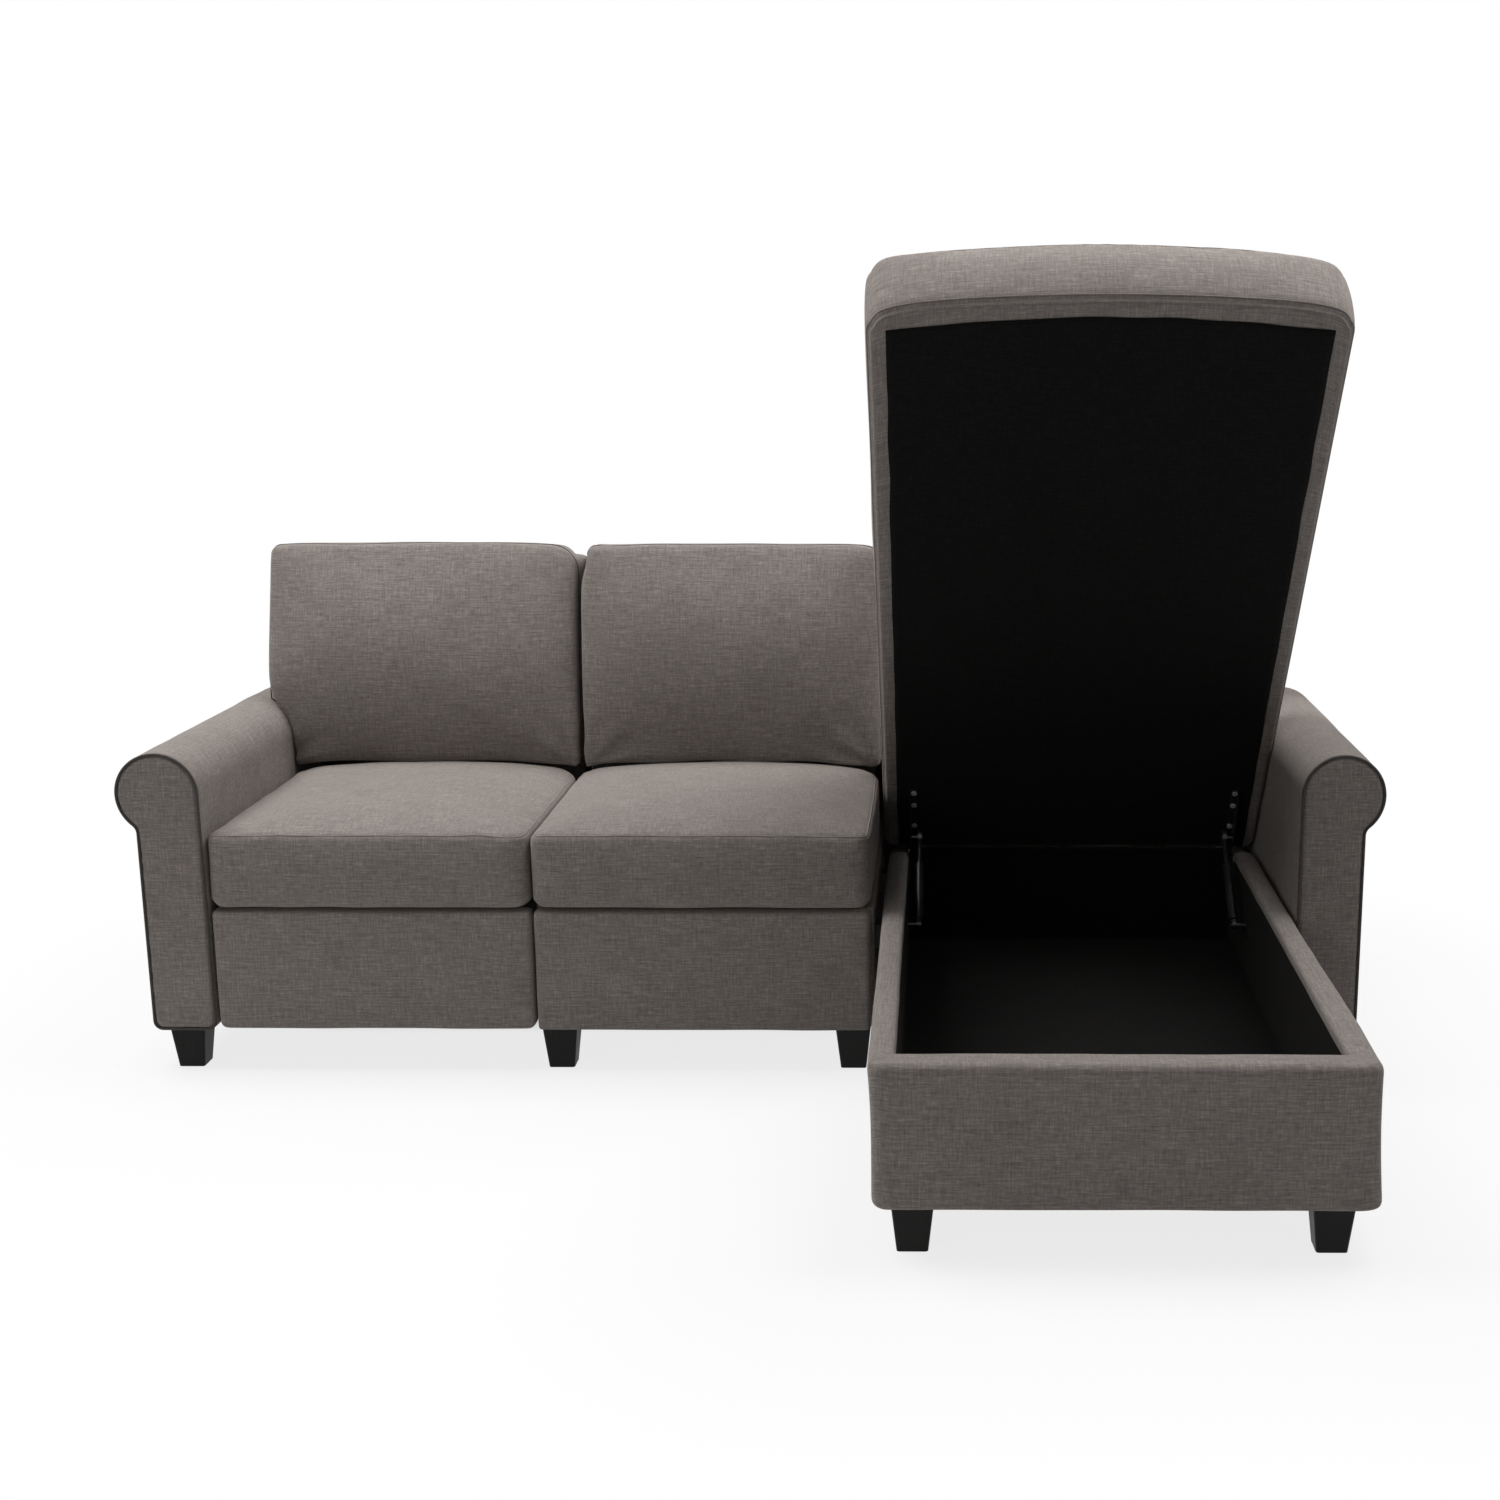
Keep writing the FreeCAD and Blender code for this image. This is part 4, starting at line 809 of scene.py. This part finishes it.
def make_panel(node, name, body, corners, edges, bulge, seed, grow=(0, 0, 0), turned=False):
    """A padded board with rounded corners and a gently full face. A turned one faces back."""
    box_low, box_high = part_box(node)
    low = np.array(box_low) - np.array([grow[0], 0, 0])
    high = np.array(box_high) + np.array([grow[1], 0, grow[2]])
    fine = min(finest_step, (high[1] - low[1]) / 4)
    coarse = (coarse_step, max(fine * 2, 0.008), coarse_step)
    points, quads, weave, share, _ = block(low, high, fine, coarse)
    u, v, w = share.T
    points = rounded_block(points, low, high, *corners, *edges)
    face = v if turned else 1 - v
    points[:, 1] += (1 if turned else -1) * bulge * (plateau(u, 4) * plateau(w, 3)) * face
    points = pushed_out(points, quads, 0.0012 * unevenness(points, 0.14, seed) * face)
    make_piece(name, points, quads, weave, [node], fill=0.5, body=body)


# Arms

def arm_sides(z, inset):
    """Inner and outer distance of the arm's outline from the sofa's middle, at each height."""
    inner = arm_inner + inset
    outer = arm_inner + arm_thickness - inset
    bottom = arm_bottom + inset
    corner = arm_corner_radius
    roll = arm_roll_radius - inset
    neck = arm_neck_radius + inset
    roll_x = arm_inner + arm_roll_radius
    neck_x = outer + neck
    neck_z = arm_roll_height - math.sqrt((roll + neck) ** 2 - (neck_x - roll_x) ** 2)
    meet_z = arm_roll_height + (neck_z - arm_roll_height) * roll / (roll + neck)
    low = np.sqrt(np.clip(corner ** 2 - np.clip(bottom + corner - z, 0, corner) ** 2, 0, None))
    dip = corner - low
    rise = np.sqrt(np.clip(roll ** 2 - (z - arm_roll_height) ** 2, 0, None))
    x_in = np.where(z > arm_roll_height, roll_x - rise, inner + dip)
    bend = neck_x - np.sqrt(np.clip(neck ** 2 - (z - neck_z) ** 2, 0, None))
    x_out = np.where(z < neck_z, outer - dip, np.where(z < meet_z, bend, roll_x + rise))
    return x_in, x_out


def arm_heights(inset, count):
    """Heights from the arm's bottom to its top, closer together near both."""
    bottom = arm_bottom + inset
    top = arm_roll_height + arm_roll_radius - inset
    return bottom + (top - bottom) * (1 - np.cos(np.linspace(0, math.pi, count))) / 2


def arm_loop(inset, count=outline_count):
    """The arm's outline as evenly spaced (x, z) points, once round, starting under the inner side."""
    heights = arm_heights(inset, 400)
    x_in, x_out = arm_sides(heights, inset)
    loop_x = np.concatenate([x_in, x_out[::-1], x_in[:1]])
    loop_z = np.concatenate([heights, heights[::-1], heights[:1]])
    run = run_along(np.column_stack([loop_x, loop_z]))
    even = np.linspace(0, run[-1], count, endpoint=False)
    return np.column_stack([np.interp(even, run, loop_x), np.interp(even, run, loop_z)]), run[-1]


def arm_cover(rear):
    """Fabric round the arm from the facing's piping to its back."""
    steps = [(0.0042, 0.0045), (0.0015, 0.0062), (0.0003, 0.0090)]
    steps += [(0.0, y) for y in places(0.013, rear - 0.012, 0.008, 0.028)]
    steps += [(0.0012, rear - 0.005), (0.004, rear - 0.0012), (0.0075, rear)]
    points = []
    for inset, y in steps:
        loop, girth = arm_loop(inset)
        points += [(x, y, z) for x, z in loop]
    faces = wrapped_faces([y for _, y in steps], outline_count, girth)
    return np.array(points), *turned_over(*faces)


def arm_end_panel(inset, border_y, face_y, edge):
    """A padded end of the arm: flat in the middle and rolled back at its border."""
    heights = arm_heights(inset, 60)
    heights[-1] -= 0.0002
    rows = zip(heights, *arm_sides(heights, inset))
    across = (1 - np.cos(np.linspace(0, math.pi, 17))) / 2
    points = np.array([(start + share * (end - start), 0, z) for z, start, end in rows for share in across])
    border, _ = arm_loop(inset, 500)
    gap = distance_to_line(points, np.column_stack([border[:, 0], np.zeros(500), border[:, 1]]))
    roll = np.sqrt(np.clip(1 - (1 - np.minimum(gap, edge) / edge) ** 2, 0, 1))
    fullness = 0.0012 * smooth_step(gap, 0.01, 0.05)
    points[:, 1] = border_y + (face_y - border_y) * roll + np.sign(face_y - border_y) * fullness
    quads = grid_faces(len(heights), len(across))
    if face_y > border_y:
        quads = [quad[::-1] for quad in quads]
    return points, quads, laid(quads, points[:, [0, 2]])


def mirrored(points, quads, weave, side):
    """The arm's surface on the given side of the sofa."""
    if side > 0:
        return points, quads, weave
    return points * np.array([-1, 1, 1]), *turned_over(quads, weave)


def arm_strand(side, inset, count, y, radius, sides=8):
    """A strand along the arm's outline."""
    line, _ = arm_loop(inset, count)
    return tube(np.column_stack([line[:, 0] * side, np.full(count, y), line[:, 1]]), radius, sides)


def make_arm(side):
    name = "right_arm" if side > 0 else "left_arm"
    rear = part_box(name + "_cover")[1].y
    points, quads, weave = arm_cover(rear)
    softness = 0.0014 * unevenness(points, 0.17, 20 + side) * smooth_step(points[:, 1], 0.01, 0.08)
    points = pushed_out(points, quads, softness)
    make_piece(name + "_upholstery", *mirrored(points, quads, weave, side), [name + "_cover"], fill=0.8)
    front = arm_end_panel(2 * piping_radius, facing_depth, 0.0006, 0.006)
    make_piece(name + "_facing", *mirrored(*front, side), ["arm_facings"], fill=0.4, smooth=0)
    back = arm_end_panel(0.006, rear - 0.002, rear + 0.002, 0.006)
    make_piece(name + "_back_panel", *mirrored(*back, side), fill=0.4, smooth=0)
    piping = arm_strand(side, piping_radius, 360, 0.0032, piping_radius * 0.98, 12)
    make_piece(name + "_piping", *piping, ["arm_piping"], slot="dark_piping", smooth=0)
    seam = arm_strand(side, 0.005, 300, rear - 0.0008, seam_radius)
    make_piece(name + "_back_seam", *seam, finish="seam", smooth=0)


# Chaise box

def box_path(left, right, front, rear, wall, front_wall):
    """Outer and inner places along the U of the box, from the rear left round to the rear right."""
    radius = box_corner_radius
    inner_front = front + front_wall
    left_inner = (left + wall, inner_front)
    right_inner = (right - wall, inner_front)
    turns = [(radius * math.cos(turn), radius * math.sin(turn)) for turn in np.linspace(0, math.pi / 2, 9)]
    beside = places(inner_front + 0.002, rear, 0.012, 0.04)
    before = places(left + wall + 0.002, right - wall - 0.002, 0.012, 0.04)
    path = [((left, y), (left + wall, y)) for y in beside[::-1]]
    path += [((left, front + radius + 0.012), left_inner)]
    path += [((left + radius - long, front + radius - short), left_inner) for long, short in turns]
    path += [((x, front), (x, inner_front)) for x in before]
    path += [((right - radius + short, front + radius - long), right_inner) for long, short in turns]
    path += [((right, front + radius + 0.012), right_inner)]
    path += [((right, y), (right - wall, y)) for y in beside]
    return np.array(path).swapaxes(0, 1)


def make_chaise_cover():
    """One wrapped cover over the box's two sides and front, with its padded rim."""
    left_low, left_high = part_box("chaise_left_cover")
    front_low, front_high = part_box("chaise_front_cover")
    left = left_low.x
    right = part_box("chaise_right_cover")[1].x
    front = front_low.y
    rear = left_high.y
    bottom = front_low.z
    top = front_high.z - 0.003
    foot_radius = 0.012
    low_top = 0.284
    step_y = 0.495
    outer, inner = box_path(left, right, front, rear, 0.038, 0.060)
    # Section places: share of the way out from the inner wall, step outwards, height from the top
    section = [(0.0, 0.0, -0.016), (0.0, 0.0, -0.010), (0.02, 0.0, -0.005), (0.10, 0.0, -0.0012)]
    section += [(0.30, 0.0, 0.0), (0.48, 0.0, 0.0006), (0.62, 0.0, 0.0)]
    for turn in np.linspace(0.25, math.pi / 2, 7):
        section.append((1.0, -box_rim_radius * (1 - math.sin(turn)), -box_rim_radius * (1 - math.cos(turn))))
    drop = np.linspace(0.02, 1, 16)[:-1]
    height = top - box_rim_radius - bottom - foot_radius
    section += [(1.0, 0.0, -box_rim_radius - share * height) for share in drop]
    for turn in np.linspace(0, math.pi / 2, 6):
        fall = -box_rim_radius - height - foot_radius * math.sin(turn)
        section.append((1.0, -foot_radius * (1 - math.cos(turn)), fall))
    section += [(0.55, 0.0, bottom - top), (0.25, 0.0, bottom - top)]
    across = inner - outer
    inward = across / np.linalg.norm(across, axis=1, keepdims=True)
    points, spots = [], []
    for run, start, end, step in zip(run_along(outer), outer, inner, inward):
        high = top - (top - low_top) * smooth_step(start[1], step_y, step_y + 0.006)
        line = []
        for share, offset, fall in section:
            z = high + fall if fall > -0.03 else top + fall
            line.append((*(end + (start - end) * share - step * offset), max(z, bottom)))
        points += line
        spots += [(run, length) for length in run_along(line)]
    points = np.array(points)
    quads = grid_faces(len(outer), len(section), turned=True)
    normals = outward(points, quads)
    mid_height = arch((points[:, 2] - bottom) / (top - bottom))
    outside = np.abs(normals[:, 2]) < 0.5
    fullness = 0.0035 * mid_height * outside + 0.0012 * unevenness(points, 0.15, 41)
    points = points + normals * fullness[:, None]
    drop_share = np.clip((top - points[:, 2]) / (top - bottom), 0, 1)
    leaning = smooth_step(left + 0.06 - points[:, 0], 0, 0.06) * 0.006
    points[:, 0] += leaning * drop_share ** 1.5
    ahead = smooth_step(-points[:, 1], 0.06, 0.60) * smooth_step(points[:, 0], right - 0.036, right - 0.004)
    points[:, 0] += (0.006 + 0.007 * drop_share) * ahead
    ripple = 0.0016 * unevenness(points, 0.06, 43) + 0.001 * unevenness(points, 0.02, 44)
    points[:, 2] += ripple * (np.abs(points[:, 2] - top) < 0.012) * 0.5
    covers = ["chaise_left_cover", "chaise_right_cover", "chaise_front_cover"]
    cover = make_piece("chaise_upholstery", points, quads, laid(quads, spots), covers, fill=0.5)
    thicken(cover, 0.002)


def make_lining():
    """Black cloth inside the box: four walls and a floor, slightly loose."""
    box_low, box_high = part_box("chaise_lining")
    skin = 0.0028
    low = np.array([box_low.x + skin, box_low.y + skin, 0.0998])
    high = np.array([box_high.x - skin, box_high.y - skin, 0.2915])
    points, quads, weave, share, _ = block(low, high, fine=0.004, coarse=(0.022, 0.022, 0.014), open_top=True)
    points[:, 2] -= (points[:, 2] > 0.284) * smooth_step(points[:, 1], 0.49, 0.5) * 0.008
    inner = np.clip(points, low + lining_radius, [high[0] - lining_radius, high[1] - lining_radius, 1])
    away = points - inner
    length = np.linalg.norm(away, axis=1, keepdims=True)
    biggest = np.abs(away).max(axis=1, keepdims=True)
    points = inner + away * np.where(length > 1e-9, biggest / np.maximum(length, 1e-9), 0)
    normals = outward(points, quads)
    loose = 0.0012 + 0.0012 * unevenness(points, 0.12, 52) + 0.0006 * unevenness(points, 0.035, 53)
    points = points - normals * (loose * plateau(share[:, 0], 8) ** 0.5)[:, None]
    faces = turned_over(quads, weave)
    lining = make_piece("box_lining", points, *faces, ["chaise_lining"], slot="black_lining")
    length = high[1] - low[1]


def make_lining_lip():
    """The lining's rear edge, folded over the board behind it."""
    left, right = 0.2765, 0.9305
    profile = [
        (0.5285, 0.279), (0.5288, 0.2835), (0.5305, 0.2864), (0.534, 0.2872),
        (0.542, 0.2873), (0.550, 0.2872), (0.5535, 0.2862), (0.5545, 0.282),
    ]
    points = np.array([(x, y, z) for y, z in profile for x in np.linspace(left, right, 80)])
    points[:, 2] += 0.0007 * unevenness(points, 0.07, 55)
    spots = np.column_stack([points[:, 0], points[:, 1] + points[:, 2]])
    lip = make_cloth("box_lining_lip", points, len(profile), spots, 0.001, slot="black_lining")


# Lid

def opened(points):
    """Turns points of the closed lid to its open place."""
    turn = -lid_angle
    y = points[:, 1] - lid_axis_y
    z = points[:, 2] - lid_axis_z
    out = points.copy()
    out[:, 1] = lid_axis_y + y * math.cos(turn) - z * math.sin(turn)
    out[:, 2] = lid_axis_z + y * math.sin(turn) + z * math.cos(turn)
    return out


def make_lid():
    """The long chaise cushion, built closed and then turned open."""
    low = np.array([lid_left, lid_front, lid_bottom])
    high = np.array([lid_right, lid_rear, lid_bottom + lid_height])
    points, quads, weave, share, lattice = block(low, high, coarse=(0.018, 0.022, coarse_step))
    u, v, w = share.T
    points = rounded_slab(points, low, high, *lid_corners, *lid_edges)
    normals = outward(points, quads)
    facing_down = np.clip(-normals[:, 2], 0, 1)
    points -= normals * (0.0035 * arch(facing_down) * (w < 0.25))[:, None]
    points[:, 1] -= lid_bow * (0.5 * arch(u) + 0.5 * plateau(u, 12)) * (1 - v)
    crown = lid_crown - lid_crown * smooth_step(u, 0.72, 1.0) * (1 - v) ** 2
    rise = 0.2 * arch(u) + 0.8 * plateau(u, 20)
    points[:, 2] += crown * rise * smooth_step(w, 0.2, 1.0)
    left_corner = bell(u, 0, 0.06) * (1 - v) ** 4 * smooth_step(w, 0.3, 1.0)
    points[:, 2] += 0.009 * left_corner
    points[:, 0] -= 0.003 * left_corner
    points[:, 1] -= 0.005 * arch(w) * (1 - v) ** 6
    points[:, 0] += bulged(u, lid_side_bulge, 8) * (0.35 + 0.65 * (1 - v)) * (0.65 + 0.35 * arch(w))
    under = (w < 0.001) & (np.minimum(u, 1 - u) * (high[0] - low[0]) > 0.026)
    under &= np.minimum(v, 1 - v) * (high[1] - low[1]) > 0.022
    points[under, 2] += 0.0011
    points = pushed_out(points, quads, 0.002 * unevenness(points, 0.2, 61) * smooth_step(w, 0, 0.3))
    piece = make_piece(
        "chaise_lid_cushion", opened(points), quads, weave, ["lid_cushion"], fill=0.85, body="lid",
    )
    lower_seam = ring(lattice, 2, 3)
    upper_seam = ring(lattice, 2, -1)
    pins = np.zeros(len(points))
    pins[w < 0.085] = 1
    pins[upper_seam] = 0.7
    at_side = (u < 0.001) | (u > 0.999)
    pins[at_side] = np.maximum(pins[at_side], 0.4)
    return piece, pins, lid_puff, np.ones(len(points)), (lower_seam, upper_seam), quads


def finish_lid(piece, seams, quads):
    points = lowered_at_seam(points_of(piece), quads, seams[0], groove=0.0003, reach=0.003)
    set_points(piece, lowered_at_seam(points, quads, seams[1]))
    lower = add_seam(piece, "chaise_lid_lower_seam", seams[0], "seam", radius=0.0010)
    upper = add_seam(piece, "chaise_lid_upper_seam", seams[1], "seam")
    for soft in (piece, lower, upper):
        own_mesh(soft)


def make_lid_cloth():
    """Black cloth stapled over the lid's underside, with a slightly wavy border."""
    left = lid_left + lid_border
    right = lid_right - lid_border
    rear = lid_rear - lid_border / 2
    cloth_length = 1.25
    us = np.linspace(0, 1, 61)
    vs = np.linspace(0, 1, 105)
    u = np.tile(us, len(vs))
    v = np.repeat(vs, len(us))
    front = lid_front + lid_front_border - lid_cloth_bow * arch(u)
    points = np.column_stack([left + u * (right - left), front + v * (rear - front), np.zeros(len(u))])
    edge = np.minimum(np.minimum(u, 1 - u) * (right - left), np.minimum(v, 1 - v) * cloth_length)
    ragged = 0.0022 * unevenness(points, 0.11, 71) * np.exp(-edge / 0.02)
    points[:, 0] += ragged * np.sign(u - 0.5)
    points[:, 1] += ragged * np.sign(v - 0.5)
    sag = 0.0010 * smooth_step(edge, 0.0, 0.12)
    sag += 0.0007 * unevenness(points, 0.16, 72) * smooth_step(edge, 0, 0.05)
    points[:, 2] = lid_bottom - 0.0004 - np.clip(sag, 0, None)
    cloth = make_cloth(
        "lid_underside_cloth", opened(points), len(vs), points[:, :2], 0.0006, turned=True,
        replaced=["lid_dust_cover"], body="lid", slot="black_cloth", smooth=0,
    )


def make_apron(name, body, side_span, foot, head):
    """Fabric stretched over the front of a back frame, below its cushion."""
    xs = np.linspace(side_span[0], side_span[1], 48)
    zs = np.linspace(foot, head, 16)
    points = np.array([(x, frame_plane(z) - apron_gap, z) for z in zs for x in xs])
    points[:, 1] -= 0.0005 * (1 + unevenness(points, 0.12, 77))
    apron = make_cloth(name, points, len(zs), points[:, [0, 2]], 0.0008, body=body, smooth=0)


def make_edge_wrap():
    """The middle seat's rear fabric, turned forward round its left corner."""
    x = -0.3907
    rear = 0.7735
    turns = (0.305, 0.318, 0.462, 0.475)
    fronts = (0.735, frame_plane(turns[1]) - apron_gap, frame_plane(turns[2]) - apron_gap, 0.757)
    shares = np.linspace(0, 1, 8)
    zs = np.linspace(0.081, 0.860, 90)
    edge = np.interp(zs, turns, fronts)
    rows = zip(zs, edge)
    points = np.array([(x, front + share * (rear - front), z) for z, front in rows for share in shares])
    points[:, 0] += 0.0002 * unevenness(points, 0.1, 78)
    wrap = make_cloth(
        "center_rear_edge", points, len(zs), points[:, 1:], 0.0006, turned=True, offset=0, smooth=0,
    )


def make_seat_dust_cover():
    """Black cloth under the middle seat."""
    box_low, box_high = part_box("middle_dust_cover")
    xs = np.linspace(box_low.x, box_high.x, 40)
    ys = np.linspace(box_low.y, box_high.y, 42)
    points = np.array([(x, y, box_low.z + 0.0008) for y in ys for x in xs])
    u = (points[:, 0] - xs[0]) / (xs[-1] - xs[0])
    v = (points[:, 1] - ys[0]) / (ys[-1] - ys[0])
    points[:, 2] += 0.0005 * unevenness(points, 0.1, 75) * arch(u) * arch(v)
    cloth = make_cloth(
        "middle_underside_cloth", points, len(ys), points[:, :2], 0.0006, turned=True,
        replaced=["middle_dust_cover"], slot="black_cloth", smooth=0,
    )


# The whole sofa

# node, name, body, corners, edges, bulge, seed, growth at the left, right and top, facing back
panels = (
    ("footrest_pad", "footrest_upholstery", "footrest",
     (0.015, 0.010), (0.011, 0.004), 0.003, 11, (0.003, -0.001, 0.001)),
    ("middle_front_panel", "center_front_upholstery", "root",
     (0.008, 0.010), (0.011, 0.002), 0.003, 12, (0.0045, 0, 0.001)),
    ("middle_side_panel", "center_side_upholstery", "root",
     (0.004, 0.004), (0.002, 0.002), 0.0, 13, (0, 0.006, 0.001)),
    ("middle_outside_back", "center_rear_back", "root",
     (0.003, 0.010), (0.002, 0.007), 0.002, 14, (0, 0.0150, 0.004), True),
    ("chaise_outside_back", "right_rear_back", "root",
     (0.003, 0.010), (0.002, 0.007), 0.002, 15, (0.0107, 0.005, 0.004), True),
    ("recliner_outside_back", "recliner_rear_back", "recliner_back",
     (0.010, 0.010), (0.002, 0.007), 0.002, 17, (0.008, 0.0105, 0.004), True),
    ("recliner_rear_cover", "recliner_rear_skirt", "root",
     (0.004, 0.004), (0.001, 0.003), 0.001, 18, (0.0008, 0, 0.001), True),
)


def make_sofa():
    finish_cad_nodes()
    seats = [
        make_seat("recliner_seat_cushion", "left_seat_cushion", (-0.9765, -0.4015), (0.003, 0.0015), 1),
        make_seat("middle_seat_cushion", "center_seat_cushion", (-0.3965, 0.213), (0.0015, 0.005), 2),
    ]
    backs = [
        make_back(
            "recliner_back_cushion", "left_back_cushion", "recliner_back", 0.540, 0.612,
            ((-0.965, -0.405), (-1.030, -0.3945)), (0.022, 0.055), -1, 0.82, 3,
        ),
        make_back(
            "middle_back_cushion", "center_back_cushion", "root", 0.540, 0.592,
            ((-0.388, 0.203), (-0.3910, 0.220)), (0.028, 0.036), 0, 1.15, 4,
        ),
        make_back(
            "chaise_back_cushion", "right_back_cushion", "root", 0.607, 0.622,
            ((0.246, 0.961), (0.227, 1.030)), (0.036, 0.036), 1, 0.75, 5,
        ),
    ]
    lid = make_lid()
    puff([made[:4] for made in seats + backs + [lid]])
    for piece, _, _, _, seam, quads in seats:
        finish_seat(piece, seam, quads)
    for piece, pins, _, _, seam, quads in backs:
        finish_back(piece, seam, quads, pins)
    finish_lid(lid[0], *lid[4:])
    make_lid_cloth()
    make_seat_dust_cover()
    make_apron("left_back_apron", "recliner_back", (-0.964, -0.406), 0.338, 0.500)
    make_apron("center_back_apron", "root", (-0.3905, 0.202), 0.315, 0.500)
    make_apron("right_back_apron", "root", (0.247, 0.960), 0.288, 0.500)
    make_edge_wrap()
    for panel in panels:
        make_panel(*panel)
    for side in (-1, 1):
        make_arm(side)
    make_chaise_cover()
    make_lining()
    make_lining_lip()


# Floor, light and camera

def vector_step(tree, operation, first, second=(0, 0, 0)):
    inputs = {0: first, 1: second}
    return add_node(tree, "ShaderNodeVectorMath", inputs, operation=operation).outputs["Vector"]


def from_middle(tree, place, middle):
    """Distance across and along the floor from the middle of a rectangle."""
    return vector_step(tree, "ABSOLUTE", vector_step(tree, "SUBTRACT", place, (*middle, 0)))


def footprint_distance(tree, place, middle, half):
    """Distance on the floor from a rectangle under the sofa."""
    beyond = vector_step(tree, "SUBTRACT", from_middle(tree, place, middle), (*half, 0))
    outside = {0: vector_step(tree, "MAXIMUM", beyond)}
    return add_node(tree, "ShaderNodeVectorMath", outside, operation="LENGTH").outputs["Value"]


def footprint_depth(tree, place, middle, half):
    """How far a place on the floor lies inside a rectangle under the sofa, negative outside it."""
    parts = add_node(tree, "ShaderNodeSeparateXYZ", {"Vector": from_middle(tree, place, middle)})
    across = mixed(tree, "SUBTRACT", half[0], parts.outputs["X"])
    along = mixed(tree, "SUBTRACT", half[1], parts.outputs["Y"])
    return mixed(tree, "MINIMUM", across, along)


def make_stage():
    size = 30.0
    mesh = bpy.data.meshes.new("floor")
    corners = [(-size, -size, 0), (size, -size, 0), (size, size, 0), (-size, size, 0)]
    mesh.from_pydata(corners, [], [(0, 1, 2, 3)])
    floor = add_object("floor", mesh)
    material, tree, shader = start_material("pale_floor")
    feed(tree, shader, {"Base Color": (0.74, 0.74, 0.74, 1), "Roughness": 0.9, "Specular IOR Level": 0.1})
    glow = add_node(tree, "ShaderNodeEmission", {"Color": (1, 1, 1, 1), "Strength": 1.0})
    place = add_node(tree, "ShaderNodeTexCoord").outputs["Object"]
    # Rectangles on the floor under the sofa: middle and half size
    main_part = ((0.0, 0.39), (1.1, 0.39))
    chaise_front = ((0.6035, -0.39), (0.3675, 0.39))
    whole_chaise = ((0.6035, 0.0), (0.3675, 0.78))
    distances = [footprint_distance(tree, place, *part) for part in (main_part, chaise_front)]
    far = spread(tree, mixed(tree, "MINIMUM", *distances), 0.80, 1.0, 0.0, 0.6)
    depths = [footprint_depth(tree, place, *part) for part in (main_part, whole_chaise)]
    under = spread(tree, mixed(tree, "MAXIMUM", *depths), 1.0, 0.2, 0.22, 0.42)
    share = mixed(tree, "MULTIPLY", seen_directly(tree), mixed(tree, "MULTIPLY", far, under))
    shaders = {"Fac": share, 1: shader.outputs["BSDF"], 2: glow.outputs["Emission"]}
    mix = add_node(tree, "ShaderNodeMixShader", shaders)
    feed(tree, tree.nodes["Material Output"], {"Surface": mix.outputs["Shader"]})
    mesh.materials.append(material)


def seen_directly(tree):
    """1 for what the camera sees, straight or in gloss or glass, and 0 for light on the object."""
    rays = add_node(tree, "ShaderNodeLightPath")
    total = mixed(tree, "MAXIMUM", rays.outputs["Is Camera Ray"], rays.outputs["Is Glossy Ray"])
    return mixed(tree, "MAXIMUM", total, rays.outputs["Is Transmission Ray"])


def make_light():
    world = bpy.data.worlds.new("studio")
    bpy.context.scene.world = world
    world.use_nodes = True
    tree = world.node_tree
    strength = spread(tree, seen_directly(tree), 0.15, 1.0, 0.0, 1.0)
    feed(tree, tree.nodes["Background"], {"Color": (1, 1, 1, 1), "Strength": strength})
    lamps = (
        ("left_top_light", (-1.8, 0.35, 3.1), (-0.6, 0.25, 0.4), 2.0, 2.2, 102.0),
        ("right_top_light", (1.8, 0.3, 3.1), (0.6, 0.2, 0.4), 1.8, 2.2, 82.0),
        ("front_light", (-2.9, -4.8, 1.9), (0.0, 0.2, 0.4), 2.6, 2.0, 32.0),
    )
    for name, place, target, width, height, power in lamps:
        data = bpy.data.lights.new(name, "AREA")
        data.shape = "RECTANGLE"
        data.size = width
        data.size_y = height
        data.energy = power
        lamp = add_object(name, data)
        lamp.location = place
        lamp.rotation_euler = (Vector(target) - Vector(place)).to_track_quat("-Z", "Y").to_euler()


def make_camera():
    data = bpy.data.cameras.new("camera")
    data.lens = 49.2
    data.sensor_width = 36.0
    data.shift_x = -0.1183
    data.shift_y = 0.0423
    camera = add_object("camera", data)
    camera.location = (0.3427, -3.5447, 1.3193)
    camera.rotation_euler = (math.radians(76.8), 0, math.radians(0.42))
    bpy.context.scene.camera = camera


make_sofa()
make_stage()
make_light()
make_camera()
bpy.context.scene.view_settings.view_transform = "Standard"
